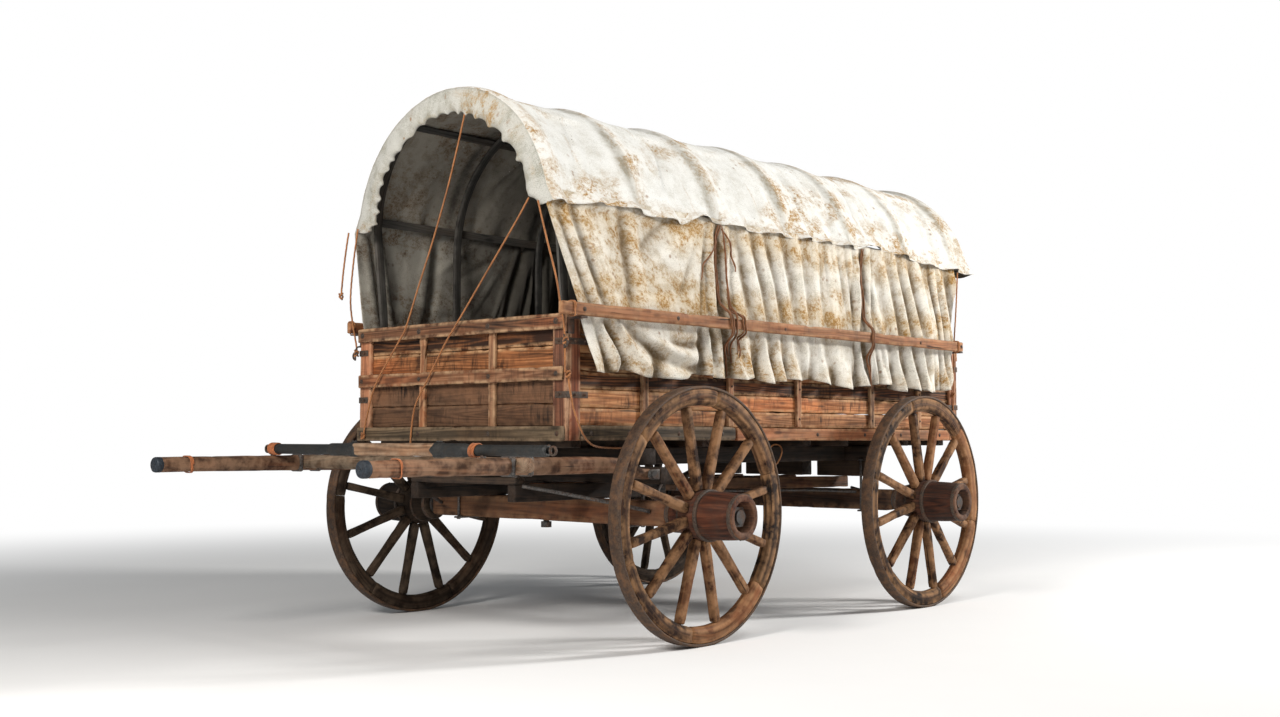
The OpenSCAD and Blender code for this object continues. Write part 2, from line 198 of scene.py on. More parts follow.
def bar(B, P, W, H, up=(0, 0, 1), e=0.004, rough=1.0, side=0.03, seg=0.035, endr=None, chips=1.0, warp=0.0, mat=0, rnd=None, T=None, pillow=0.0, long_ax=0):
    """A piece of wood along P. W is its width across up, H its height along up. P, W, H and up may be lists of stations."""
    r = rng()
    P = np.asarray(P, float)
    k0 = len(P)
    W = np.full(k0, W, float) if np.ndim(W) == 0 else np.asarray(W, float)
    H = np.full(k0, H, float) if np.ndim(H) == 0 else np.asarray(H, float)
    U = np.tile(np.asarray(up, float), (k0, 1)) if np.ndim(up) == 1 else np.asarray(up, float)
    cum = np.concatenate([[0], np.cumsum(np.linalg.norm(np.diff(P, axis=0), axis=1))])
    L = cum[-1]
    er = endr if endr is not None else min(0.006, e * 1.2, L / 6)
    n = max(2, int(round(L / seg)))
    ls = np.concatenate([[0, er * 0.35], np.linspace(er, L - er, n + 1), [L - er * 0.35, L]])
    ins = np.array([er, er * 0.32] + [0] * (n + 1) + [er * 0.32, er])
    ip = lambda A: np.stack([np.interp(ls, cum, A[:, c]) for c in range(3)], 1)
    C, UU = ip(P), ip(U)
    Wl, Hl = np.interp(ls, cum, W), np.interp(ls, cum, H)
    Tn = np.gradient(ip(P), axis=0)
    # tangents from the polyline itself, so that the squeezed end stations don't spoil them
    Tn = np.stack([np.interp(np.clip(ls, 1e-4, L - 1e-4), (cum[1:] + cum[:-1]) / 2, (np.diff(P, axis=0) / np.diff(cum)[:, None])[:, c]) for c in range(3)], 1)
    Tn /= np.linalg.norm(Tn, axis=1)[:, None]
    UU -= (UU * Tn).sum(1)[:, None] * Tn
    UU /= np.linalg.norm(UU, axis=1)[:, None]
    BB = np.cross(UU, Tn)
    ring0, nor, ed = section(W.max(), H.max(), e, side)
    m = len(ring0)
    sx, sy = Wl / W.max(), Hl / H.max()
    px = ring0[None, :, 0] * sx[:, None] - ins[:, None] * nor[None, :, 0]
    py = ring0[None, :, 1] * sy[:, None] - ins[:, None] * nor[None, :, 1]
    off = r.rand(3) * 40
    G = np.stack([np.repeat(ls[:, None], m, 1) + off[0], px + off[1], py + off[2]], -1)
    d = rough * (0.0009 * fbm(G * [4, 45, 45], 3) + 0.0007 * fbm(G * [9, 140, 140], 2))
    d += pillow * (1 - np.clip(np.abs(px) / (Wl[:, None] / 2), 0, 1) ** 4 - 0.5) * np.abs(nor[None, :, 1])
    ee = np.repeat(ed[None], len(ls), 0)
    ee = np.maximum(ee, np.clip(1 - np.minimum(ls, L - ls) / 0.012, 0, 1)[:, None])
    if chips:
        c = fbm(G * [11, 6, 6], 3)
        d -= chips * 0.0045 * ee * smooth(0.18, 0.6, c)
    px, py = px + d * nor[None, :, 0], py + d * nor[None, :, 1]
    w1, w2 = (r.rand(2) - 0.5) * 2 * warp
    s = np.sin(PI * ls / L)[:, None]
    V = C[:, None] + (px + w1 * s)[..., None] * BB[:, None] + (py + w2 * s)[..., None] * UU[:, None]
    if T is not None:
        V = T(V.reshape(-1, 3))
    B.add(V, loft_faces(len(ls), m), G, r.rand() if rnd is None else rnd, ee, mat)


def block(B, lo, hi, ax=None, **kw):
    """An axis-aligned board between two corners, its grain along its longest side."""
    lo, hi = np.asarray(lo, float), np.asarray(hi, float)
    s = hi - lo
    ax = int(np.argmax(s)) if ax is None else ax
    o = [i for i in range(3) if i != ax]
    up_ax = o[0] if s[o[0]] < s[o[1]] else o[1]
    w_ax = o[1] if up_ax == o[0] else o[0]
    mid = (lo + hi) / 2
    p, q = mid.copy(), mid.copy()
    p[ax], q[ax] = lo[ax], hi[ax]
    up = np.zeros(3)
    up[up_ax] = 1
    bar(B, [p, q], s[w_ax], s[up_ax], up=up, **kw)


def lathe(B, prof, n=48, T=None, grain=True, mat=0, rough=0.0, rnd=None):
    """prof: (r, z) from one end of the axis to the other, closed round the outside. The ends are capped if r is 0."""
    r = rng()
    prof = np.asarray(prof, float)
    a = np.arange(n) * 2 * PI / n
    R = prof[:, 0][:, None] + np.zeros(n)
    Z = prof[:, 1][:, None] + np.zeros(n)
    off = r.rand(3) * 30
    G = np.stack([Z + off[0], R * np.cos(a) + off[1], R * np.sin(a) + off[2]], -1)
    if rough:
        R = R + rough * fbm(G * [5, 60, 60], 3)
    V = np.stack([R * np.cos(a), R * np.sin(a), Z], -1)
    F = loft_faces(len(prof), n, cap=False, closed=True)
    dz = np.abs(np.gradient(np.arctan2(np.gradient(prof[:, 0]), np.gradient(prof[:, 1]) + 1e-9)))
    E = np.repeat(np.clip(dz, 0, 1)[:, None], n, 1)
    V = V.reshape(-1, 3)
    if T is not None:
        V = T(V)
    B.add(V, F, G, r.rand() if rnd is None else rnd, E, mat)


def tube(B, path, r, n=10, mat=0, twist=0.0, strands=3, rnd=0.5, cap_r=0.6, T=None, lay=0.03):
    """A rope, rod or wire along path. With twist it has laid strands."""
    P = np.asarray(path, float)
    cum = np.concatenate([[0], np.cumsum(np.linalg.norm(np.diff(P, axis=0), axis=1))])
    k = len(P)
    Tn = np.gradient(P, axis=0)
    Tn /= np.linalg.norm(Tn, axis=1)[:, None]
    u = np.cross(Tn[0], [0.31, 0.2, 0.93])
    u /= np.linalg.norm(u)
    us = []
    for i in range(k):
        u = u - Tn[i] * (u @ Tn[i])
        u /= np.linalg.norm(u)
        us.append(u)
    us = np.array(us)
    vs = np.cross(Tn, us)
    a = np.arange(n) * 2 * PI / n
    rr = np.full((k, n), r, float) if np.ndim(r) == 0 else np.repeat(np.asarray(r, float)[:, None], n, 1)
    ph = a[None] * strands / 2 - PI * cum[:, None] / lay * (1 if twist else 0)
    if twist:
        rr = rr * (1 - twist + twist * np.abs(np.sin(ph)))
    V = P[:, None] + rr[..., None] * (np.cos(a)[None, :, None] * us[:, None] + np.sin(a)[None, :, None] * vs[:, None])
    G = np.stack([np.repeat(cum[:, None], n, 1), np.repeat(a[None] * 0.01, k, 0), ph * 0.01], -1)
    V = V.reshape(-1, 3)
    if T is not None:
        V = T(V)
    B.add(V, loft_faces(k, n), G, rnd, np.abs(np.sin(ph)), mat)


def spline(pts, step=0.004):
    """A smooth curve through the points (Catmull-Rom), resampled evenly."""
    P = np.asarray(pts, float)
    Q = np.vstack([2 * P[0] - P[1], P, 2 * P[-1] - P[-2]])
    out = []
    for i in range(1, len(Q) - 2):
        n = 12
        for t in np.arange(n) / n:
            p0, p1, p2, p3 = Q[i - 1], Q[i], Q[i + 1], Q[i + 2]
            out.append(0.5 * (2 * p1 + (p2 - p0) * t + (2 * p0 - 5 * p1 + 4 * p2 - p3) * t * t + (3 * p1 - p0 - 3 * p2 + p3) * t**3))
    out.append(P[-1])
    out = np.array(out)
    cum = np.concatenate([[0], np.cumsum(np.linalg.norm(np.diff(out, axis=0), axis=1))])
    n = max(4, int(round(cum[-1] / step)))
    s = np.linspace(0, cum[-1], n + 1)
    return np.stack([np.interp(s, cum, out[:, c]) for c in range(3)], 1)


# ------------------------------------------------------------------ materials
def mat_new(name):
    m = bpy.data.materials.new(name)
    m.use_nodes = True
    nt = m.node_tree
    nt.nodes.clear()
    return m, nt


class N:
    """Short way to write node trees."""

    def __init__(s, nt):
        s.nt = nt

    def __call__(s, kind, ins=None, **props):
        n = s.nt.nodes.new("ShaderNode" + kind)
        for k, v in props.items():
            setattr(n, k, v)
        for k, v in (ins or {}).items():
            sock = n.inputs[k]
            if isinstance(v, bpy.types.NodeSocket):
                s.nt.links.new(v, sock)
            else:
                sock.default_value = v
        return n

    def math(s, op, a, b=0.0, clamp=False):
        n = s("Math", {0: a, 1: b}, operation=op, use_clamp=clamp)
        return n.outputs[0]

    def vmul(s, v, by):
        n = s("VectorMath", {0: v, 1: by}, operation="MULTIPLY")
        return n.outputs[0]

    def vadd(s, v, by):
        n = s("VectorMath", {0: v, 1: by}, operation="ADD")
        return n.outputs[0]

    def noise(s, v, scale=1.0, detail=4.0, rough=0.6, dist=0.0):
        return s("TexNoise", {"Vector": v, "Scale": scale, "Detail": detail, "Roughness": rough, "Distortion": dist}).outputs["Fac"]

    def ramp(s, fac, stops, interp="LINEAR"):
        n = s("ValToRGB", {"Fac": fac})
        cr = n.color_ramp
        cr.interpolation = interp
        while len(cr.elements) > 1:
            cr.elements.remove(cr.elements[-1])
        cr.elements[0].position = stops[0][0]
        cr.elements[0].color = (*stops[0][1], 1) if not np.isscalar(stops[0][1]) else (stops[0][1],) * 3 + (1,)
        for p, c in stops[1:]:
            e = cr.elements.new(p)
            e.color = (*c, 1) if not np.isscalar(c) else (c, c, c, 1)
        return n.outputs["Color"]

    def mix(s, fac, a, b, kind="MIX"):
        n = s.nt.nodes.new("ShaderNodeMix")
        n.data_type, n.blend_type = "RGBA", kind
        for i, v in ((0, fac), (6, a), (7, b)):
            if isinstance(v, bpy.types.NodeSocket):
                s.nt.links.new(v, n.inputs[i])
            elif i == 0:
                n.inputs[i].default_value = v
            else:
                n.inputs[i].default_value = (*v, 1)
        return n.outputs[2]

    def attr(s, name, out="Fac"):
        return s("Attribute", attribute_name=name).outputs[out]


def finish_mat(nt, n, color, rough, bump=None, strength=0.4, dist=0.002, metallic=0.0, spec=0.5, sheen=0.0, bump2=None):
    b = n("BsdfPrincipled")
    for s, v in (("Base Color", color), ("Roughness", rough)):
        if isinstance(v, bpy.types.NodeSocket):
            nt.links.new(v, b.inputs[s])
        else:
            b.inputs[s].default_value = v
    b.inputs["Metallic"].default_value = metallic
    b.inputs["Specular IOR Level"].default_value = spec
    if sheen:
        b.inputs["Sheen Weight"].default_value = sheen
        b.inputs["Sheen Roughness"].default_value = 0.5
    if bump is not None:
        bn = n("Bump", {"Height": bump, "Strength": strength, "Distance": dist})
        if bump2 is not None:
            b2 = n("Bump", {"Height": bump2, "Strength": 0.5, "Distance": 0.004})
            nt.links.new(b2.outputs[0], bn.inputs["Normal"])
        nt.links.new(bn.outputs[0], b.inputs["Normal"])
    o = n("OutputMaterial")
    nt.links.new(b.outputs[0], o.inputs["Surface"])


def wood(name, dark, mid, light, grime=(0.035, 0.028, 0.022), wear=(0.42, 0.28, 0.15), wear_amt=0.5, grime_amt=0.5, vary=0.35, cross=0.0, band=1.0, rough=(0.62, 0.9), fib=1.0, spec=0.3):
    m, nt = mat_new(name)
    n = N(nt)
    gc = n.attr("gc", "Vector")
    rnd, edge = n.attr("rnd"), n.attr("edge")
    obj = n("TexCoord").outputs["Object"]
    warp = n("TexNoise", {"Vector": n.vmul(gc, (1.6, 9, 9)), "Scale": 1.0, "Detail": 2.0}).outputs["Color"]
    g2 = n.vadd(gc, n.vmul(warp, (0.0, 0.012, 0.012)))
    f1 = n.noise(n.vmul(g2, (7, 300, 300)), detail=5, rough=0.7)
    f2 = n.noise(n.vmul(g2, (2.2, 75, 75)), detail=4, rough=0.6)
    cath = n.noise(n.vmul(g2, (0.8, 15, 15)), detail=1.5, rough=0.4)
    ring = n.math("MULTIPLY_ADD", n.math("SINE", n.math("MULTIPLY", cath, 75.0 * band)), 0.5)
    nt.nodes[-1].inputs[2].default_value = 0.5
    blot = n.noise(n.vmul(gc, (3.0, 9, 9)), detail=4, rough=0.6)
    stain = n.noise(obj, scale=6.5, detail=7, rough=0.72, dist=0.5)
    # crack: narrow dark lines with the grain
    crack = n.ramp(n.noise(n.vmul(g2, (1.7, 55, 55)), detail=3, rough=0.55), [(0.0, 1.0), (0.29, 1.0), (0.335, 0.0)])
    vor = n("TexVoronoi", {"Vector": n.vmul(g2, (3.2, 11, 11)), "Scale": 1.0, "Randomness": 1.0}).outputs["Distance"]
    knot = n.ramp(vor, [(0.0, 1.0), (0.07, 0.9), (0.14, 0.0)])
    t = n.math("ADD", n.math("MULTIPLY", f1, 0.42 * fib), n.math("MULTIPLY", f2, 0.33))
    t = n.math("ADD", t, n.math("MULTIPLY", ring, 0.17))
    t = n.math("ADD", t, n.math("MULTIPLY", blot, 0.35))
    t = n.math("ADD", t, n.math("MULTIPLY", n.math("SUBTRACT", rnd, 0.5), vary))
    t = n.math("SUBTRACT", t, 0.12, clamp=True)
    col = n.ramp(t, [(0.20, dark), (0.47, mid), (0.72, light), (0.95, tuple(min(1, c * 1.35) for c in light))])
    # some pieces are redder, some greyer
    hue = n.ramp(n.noise(n.vadd(n.vmul(gc, (1.1, 2, 2)), n("CombineXYZ", {0: rnd, 1: rnd, 2: rnd}).outputs[0]), scale=1.0, detail=2), [(0.35, (1.25, 0.92, 0.72)), (0.5, (1.05, 1, 0.95)), (0.68, (0.90, 0.95, 1.0))])
    col = n.mix(0.8, col, hue, "MULTIPLY")
    if cross:
        cr = n.ramp(n.noise(n.vmul(gc, (38, 5, 5)), detail=4, rough=0.7, dist=0.8), [(0.40, 1.0), (0.52, 0.0)])
        cm = n.ramp(n.noise(n.vmul(gc, (2.6, 6, 6)), detail=3), [(0.45, 0.0), (0.62, 1.0)])
        col = n.mix(n.math("MULTIPLY", n.math("MULTIPLY", cr, cm), cross), col, tuple(c * 0.6 for c in dark))
    gr = n.ramp(stain, [(0.44, 0.0), (0.74, 1.0)])
    col = n.mix(n.math("MULTIPLY", gr, grime_amt), col, grime)
    wn = n.ramp(n.noise(obj, scale=17.0, detail=4, rough=0.6), [(0.38, 0.0), (0.6, 1.0)])
    col = n.mix(n.math("MULTIPLY", n.math("MULTIPLY", edge, wn), wear_amt, clamp=True), col, wear)
    col = n.mix(n.math("MULTIPLY", crack, 0.85), col, tuple(c * 0.25 for c in dark))
    col = n.mix(n.math("MULTIPLY", knot, 0.7), col, tuple(c * 0.4 for c in dark))
    h = n.math("ADD", n.math("MULTIPLY", f1, 0.5), n.math("MULTIPLY", f2, 0.6))
    h = n.math("SUBTRACT", h, n.math("MULTIPLY", crack, 0.8))
    h = n.math("ADD", h, n.math("MULTIPLY", ring, 0.12))
    ro = n("MapRange", {"Value": f2, "From Min": 0.3, "From Max": 0.7, "To Min": rough[1], "To Max": rough[0]}).outputs[0]
    finish_mat(nt, n, col, ro, h, 0.75, 0.0022, spec=spec)
    return m


def iron(name, base=(0.045, 0.043, 0.042), rust=(0.16, 0.07, 0.03), rust_amt=0.45, bright=(0.16, 0.15, 0.14), metallic=0.55, rough=(0.5, 0.85)):
    m, nt = mat_new(name)
    n = N(nt)
    obj = n("TexCoord").outputs["Object"]
    edge = n.attr("edge")
    a = n.noise(obj, scale=26.0, detail=6, rough=0.7)
    b = n.noise(obj, scale=120.0, detail=4, rough=0.65)
    col = n.mix(n.ramp(b, [(0.35, 0.0), (0.65, 1.0)]), base, tuple(c * 1.7 for c in base))
    col = n.mix(n.math("MULTIPLY", n.ramp(a, [(0.45, 0.0), (0.62, 1.0)]), rust_amt), col, rust)
    col = n.mix(n.math("MULTIPLY", edge, n.ramp(b, [(0.4, 0.0), (0.6, 0.8)])), col, bright)
    h = n.math("ADD", n.math("MULTIPLY", a, 0.6), n.math("MULTIPLY", b, 0.4))
    ro = n("MapRange", {"Value": a, "From Min": 0.3, "From Max": 0.7, "To Min": rough[0], "To Max": rough[1]}).outputs[0]
    finish_mat(nt, n, col, ro, h, 0.6, 0.0016, metallic=metallic, spec=0.5)
    return m


def canvas(name, base, shade, ochre=(0.50, 0.27, 0.075), rust=(0.30, 0.13, 0.045), ochre_amt=0.8, fold_shade_and_grime=(0.24, 0.19, 0.13), fold_shade_and_grime_amt=0.6, grit_col=(0.22, 0.20, 0.16), grit_amt=0.5, tint=(0.60, 0.41, 0.16), tint_amt=0.3, inside_painted_shade=None):
    """gc is (along the wagon, down the cloth, 0) in metres; edge is where grime and rust gather; rnd is how deep in a
    fold, where painted shade and grime darken the cloth.
    """
    m, nt = mat_new(name)
    n = N(nt)
    gc = n.attr("gc", "Vector")
    edge, fold = n.attr("edge"), n.attr("rnd")
    big = n.noise(n.vmul(gc, (1.6, 2.3, 1)), detail=3, rough=0.55)
    med = n.noise(n.vmul(gc, (9.5, 9.5, 1)), detail=8, rough=0.74)
    mott = n.noise(n.vmul(gc, (60, 60, 1)), detail=5, rough=0.85)
    grit = n.noise(n.vmul(gc, (210, 210, 1)), detail=3, rough=0.8)
    streak = n.noise(n.vmul(gc, (26, 2.0, 1)), detail=5, rough=0.7, dist=0.4)
    sep = n("SeparateXYZ", {0: gc}).outputs
    th = n.noise(n.vmul(gc, (90, 90, 1)), detail=2)
    wx = n.math("SINE", n.math("ADD", n.math("MULTIPLY", sep[0], 2 * PI / 0.0034), n.math("MULTIPLY", th, 4.0)))
    wy = n.math("SINE", n.math("ADD", n.math("MULTIPLY", sep[1], 2 * PI / 0.0034), n.math("MULTIPLY", th, 4.0)))
    weave = n.math("MULTIPLY", wx, wy)
    col = n.mix(n.ramp(med, [(0.47, 0.0), (0.72, 1.0)]), base, shade)
    # broad yellowing, strongest where the cloth is held
    yel = n.math("MULTIPLY", n.math("ADD", n.math("MULTIPLY", edge, 0.75), n.ramp(big, [(0.44, 0.0), (0.66, 0.55)])), n.ramp(med, [(0.36, 0.35), (0.58, 1.0)]), clamp=True)
    col = n.mix(n.math("MULTIPLY", yel, tint_amt, clamp=True), col, tint)
    # grey grain of dust in the weave
    g1 = n.math("MULTIPLY", n.ramp(grit, [(0.50, 0.0), (0.60, 1.0)]), n.ramp(med, [(0.34, 0.20), (0.64, 1.0)]))
    col = n.mix(n.math("MULTIPLY", g1, grit_amt), col, grit_col)
    # ochre blotches, broken up and darker at their hearts
    reg = n.math("ADD", n.ramp(big, [(0.50, 0.0), (0.62, 0.9)]), n.math("MULTIPLY", edge, 0.8))
    o1 = n.math("MULTIPLY", reg, n.ramp(med, [(0.47, 0.0), (0.54, 1.3)]))
    o2 = n.math("MULTIPLY", o1, n.ramp(mott, [(0.44, 0.0), (0.55, 1.0)]), clamp=True)
    soft = n.math("MULTIPLY", reg, n.ramp(med, [(0.40, 0.0), (0.62, 1.0)]), clamp=True)
    col = n.mix(n.math("MULTIPLY", soft, 0.38 * ochre_amt), col, tuple(0.5 * a_ + 0.5 * b_ for a_, b_ in zip(ochre, base)))
    col = n.mix(n.math("MULTIPLY", o2, ochre_amt, clamp=True), col, ochre)
    core = n.math("MULTIPLY", o2, n.ramp(mott, [(0.53, 0.0), (0.62, 1.0)]), clamp=True)
    col = n.mix(n.math("MULTIPLY", core, 0.7), col, rust)
    o3 = n.math("MULTIPLY", n.ramp(streak, [(0.58, 0.0), (0.68, 1.0)]), n.ramp(mott, [(0.42, 0.0), (0.58, 1.0)]))
    col = n.mix(n.math("MULTIPLY", o3, 0.6 * ochre_amt), col, ochre)
    # small rust spots in loose groups
    vo = n("TexVoronoi", {"Vector": n.vmul(gc, (22, 22, 1)), "Scale": 1.0, "Randomness": 1.0}).outputs["Distance"]
    spot = n.math("MULTIPLY", n.ramp(vo, [(0.10, 1.0), (0.26, 0.0)]), n.ramp(n.noise(n.vmul(gc, (5, 5, 1)), detail=3), [(0.52, 0.0), (0.60, 1.0)]))
    col = n.mix(n.math("MULTIPLY", spot, 0.7), col, rust)
    speck = n.ramp(n.noise(n.vmul(gc, (85, 85, 1)), detail=2, rough=0.9), [(0.66, 0.0), (0.70, 1.0)])
    col = n.mix(n.math("MULTIPLY", speck, 0.45), col, (0.13, 0.11, 0.08))
    # painted shade deep inside the wagon: the inner cloth darkens towards the tail
    if inside_painted_shade:
        sx = n("TexCoord").outputs["Object"]
        far = n("MapRange", {"Value": n("SeparateXYZ", {0: sx}).outputs[0], "From Min": inside_painted_shade[1], "From Max": inside_painted_shade[2], "To Min": inside_painted_shade[0], "To Max": 0.0}).outputs[0]
        col = n.mix(n.math("MULTIPLY", far, n.ramp(big, [(0.35, 0.8), (0.6, 1.0)])), col, (0.030, 0.028, 0.023))
    # painted shade and grime in the folds, by how deep the point lies in a fold
    fold_shade_and_grime_mask = n.math("MULTIPLY", fold, n.ramp(med, [(0.30, 0.45), (0.60, 1.0)]))
    col = n.mix(n.math("MULTIPLY", fold_shade_and_grime_mask, fold_shade_and_grime_amt, clamp=True), col, fold_shade_and_grime)
    col = n.mix(n.math("MULTIPLY", n.math("ADD", weave, 1.0), 0.09), col, (0.22, 0.19, 0.15))
    h = n.math("ADD", n.math("MULTIPLY", weave, 0.35), n.math("MULTIPLY", grit, 1.1))
    finish_mat(nt, n, col, 0.93, h, 0.6, 0.0013, spec=0.12, sheen=0.1, bump2=n.math("MULTIPLY", med, 1.5))
    return m


def rope_mat(name, base=(0.36, 0.15, 0.055), dark=(0.13, 0.05, 0.02)):
    m, nt = mat_new(name)
    n = N(nt)
    gc, edge = n.attr("gc", "Vector"), n.attr("edge")
    a = n.noise(n.vmul(gc, (400, 900, 900)), detail=4, rough=0.7)
    b = n.noise(n.vmul(gc, (14, 1, 1)), detail=3)
    # painted shade: the rope is dark in the grooves between its strands, where edge is low; the blotches after this are
    # grime
    col = n.mix(n.ramp(edge, [(0.15, 0.0), (0.75, 1.0)]), dark, base)
    col = n.mix(n.math("MULTIPLY", a, 0.5), col, tuple(min(1, c * 1.6) for c in base))
    col = n.mix(n.math("MULTIPLY", n.ramp(b, [(0.45, 0.0), (0.7, 1.0)]), 0.5), col, dark)
    finish_mat(nt, n, col, 0.9, a, 0.7, 0.001, spec=0.2, sheen=0.2)
    return m


M_BOARD = wood("m_boards", (0.026, 0.009, 0.003), (0.310, 0.120, 0.043), (0.66, 0.33, 0.145), grime_amt=0.6, grime=(0.026, 0.018, 0.011), wear=(0.62, 0.37, 0.19), wear_amt=0.7, vary=0.6, cross=0.8)
# painted shade: a much darker copy of the board wood for the lowest rows of the front and tail boards
M_BOARD_LO_PAINTED_SHADE = wood("m_low_boards_painted_shade", (0.009, 0.0045, 0.0025), (0.052, 0.023, 0.011), (0.150, 0.072, 0.036), grime_amt=0.8, grime=(0.012, 0.009, 0.006), wear=(0.26, 0.145, 0.08), wear_amt=0.45, vary=0.6, cross=0.9)
M_FRAME = wood("m_frame", (0.022, 0.010, 0.005), (0.185, 0.080, 0.038), (0.42, 0.225, 0.12), wear=(0.54, 0.34, 0.19), wear_amt=0.75, grime_amt=0.5, cross=0.4)
M_RED = wood("m_red_frame", (0.030, 0.011, 0.007), (0.200, 0.074, 0.038), (0.42, 0.20, 0.11), wear=(0.52, 0.31, 0.18), wear_amt=0.75, grime_amt=0.55, cross=0.3)
M_MOSS = wood("m_moss", (0.014, 0.011, 0.007), (0.085, 0.058, 0.033), (0.23, 0.16, 0.095), wear=(0.34, 0.23, 0.14), grime_amt=0.5, cross=0.5)
M_RAIL = wood("m_rail", (0.028, 0.009, 0.004), (0.140, 0.048, 0.018), (0.31, 0.135, 0.060), wear=(0.46, 0.26, 0.13), wear_amt=0.55, grime_amt=0.6, cross=0.3)
M_FLOOR = wood("m_floor", (0.040, 0.026, 0.016), (0.13, 0.09, 0.055), (0.26, 0.19, 0.12), wear_amt=0.3, grime_amt=0.6)
# painted shade: near-black wood for the beams under the bed (sills, bearers, bolsters, hounds, sand board)
M_GEAR_PAINTED_SHADE = wood("m_gear_painted_shade", (0.005, 0.004, 0.003), (0.016, 0.011, 0.008), (0.045, 0.028, 0.017), wear=(0.085, 0.050, 0.030), wear_amt=0.3, grime=(0.005, 0.004, 0.004), grime_amt=0.6)
M_AXLE = wood("m_axle", (0.008, 0.004, 0.002), (0.045, 0.018, 0.008), (0.125, 0.057, 0.027), wear=(0.24, 0.13, 0.065), wear_amt=0.55, grime_amt=0.7)
WH = dict(wear=(0.42, 0.225, 0.105), wear_amt=0.7, grime_amt=0.75, grime=(0.007, 0.004, 0.002), vary=0.55, spec=0.22)
M_WHEEL = wood("m_wheel", (0.004, 0.0018, 0.001), (0.033, 0.0125, 0.005), (0.175, 0.078, 0.033), **WH)
M_SPOKE = wood("m_spoke", (0.005, 0.002, 0.001), (0.036, 0.0135, 0.0055), (0.170, 0.076, 0.033), wear=(0.36, 0.19, 0.09), wear_amt=0.7, grime_amt=0.65, grime=(0.008, 0.005, 0.003), spec=0.22)
# painted shade: a darker copy of the wheel wood for the felloes, spokes and naves of both right wheels
M_WHEEL_PAINTED_SHADE = wood("m_wheel_painted_shade", (0.005, 0.003, 0.002), (0.017, 0.0105, 0.0065), (0.052, 0.033, 0.021), wear=(0.13, 0.09, 0.06), wear_amt=0.5, grime_amt=0.6, grime=(0.006, 0.004, 0.003), spec=0.15)
M_HUB = wood("m_hub", (0.008, 0.003, 0.002), (0.055, 0.018, 0.008), (0.150, 0.060, 0.030), wear=(0.30, 0.15, 0.08), wear_amt=0.65, grime_amt=0.7)
M_SHAFT = wood("m_shaft", (0.010, 0.005, 0.003), (0.080, 0.035, 0.017), (0.245, 0.118, 0.060), wear=(0.38, 0.22, 0.13), wear_amt=0.5, grime_amt=0.8, cross=0.5)
M_PALE = wood("m_pale", (0.035, 0.022, 0.012), (0.150, 0.095, 0.058), (0.33, 0.235, 0.155), wear=(0.42, 0.31, 0.21), wear_amt=0.4, grime_amt=0.6)
M_BOW = wood("m_bow", (0.010, 0.010, 0.009), (0.034, 0.033, 0.030), (0.075, 0.072, 0.065), wear=(0.11, 0.10, 0.09), grime_amt=0.3)
M_IRON = iron("m_iron")
M_RUST = iron("m_rusty_iron", base=(0.030, 0.021, 0.016), rust=(0.11, 0.045, 0.020), rust_amt=0.75, bright=(0.10, 0.075, 0.055), metallic=0.2, rough=(0.6, 0.9))
M_TYRE = iron("m_tyre", base=(0.030, 0.015, 0.008), rust=(0.150, 0.072, 0.032), rust_amt=0.85, bright=(0.090, 0.055, 0.032), metallic=0.1, rough=(0.6, 0.9))
M_CAP = iron("m_blue_iron", base=(0.008, 0.013, 0.020), rust=(0.030, 0.022, 0.018), rust_amt=0.4, bright=(0.040, 0.052, 0.065), metallic=0.2)
M_WRAP = iron("m_wrap", base=(0.011, 0.012, 0.012), rust=(0.032, 0.025, 0.019), rust_amt=0.5, bright=(0.050, 0.050, 0.048), metallic=0.15, rough=(0.5, 0.8))
OCHRE, RUSTY = (0.42, 0.235, 0.052), (0.26, 0.110, 0.024)
M_ROOF = canvas("m_roof", (0.87, 0.87, 0.84), (0.72, 0.705, 0.645), ochre=OCHRE, rust=RUSTY, ochre_amt=1.0, grit_col=(0.27, 0.26, 0.21), fold_shade_and_grime=(0.255, 0.235, 0.185), fold_shade_and_grime_amt=0.85, tint_amt=0.28)
M_LIP = canvas("m_lip", (0.58, 0.575, 0.53), (0.32, 0.315, 0.255), ochre=OCHRE, rust=RUSTY, ochre_amt=0.7, grit_col=(0.16, 0.16, 0.12), grit_amt=0.85, fold_shade_and_grime=(0.20, 0.19, 0.14), fold_shade_and_grime_amt=0.9, tint_amt=0.25)
M_CURT = canvas("m_curtain", (0.88, 0.85, 0.775), (0.64, 0.59, 0.475), ochre=(0.40, 0.215, 0.046), rust=(0.24, 0.100, 0.024), ochre_amt=1.0, fold_shade_and_grime=(0.120, 0.076, 0.034), fold_shade_and_grime_amt=1.0, grit_amt=0.75, grit_col=(0.18, 0.165, 0.13), tint_amt=0.85)
# painted shade: a dark copy of the cloth for the inner faces of the roof and lips, darker still towards the tail
M_INNER_PAINTED_SHADE = canvas("m_inner_cloth_painted_shade", (0.40, 0.365, 0.305), (0.25, 0.225, 0.18), ochre=(0.20, 0.12, 0.06), rust=(0.095, 0.050, 0.026), ochre_amt=0.8, fold_shade_and_grime=(0.050, 0.047, 0.040), fold_shade_and_grime_amt=0.9, grit_col=(0.09, 0.086, 0.072), tint_amt=0.0, inside_painted_shade=(0.75, -0.5, 0.9))
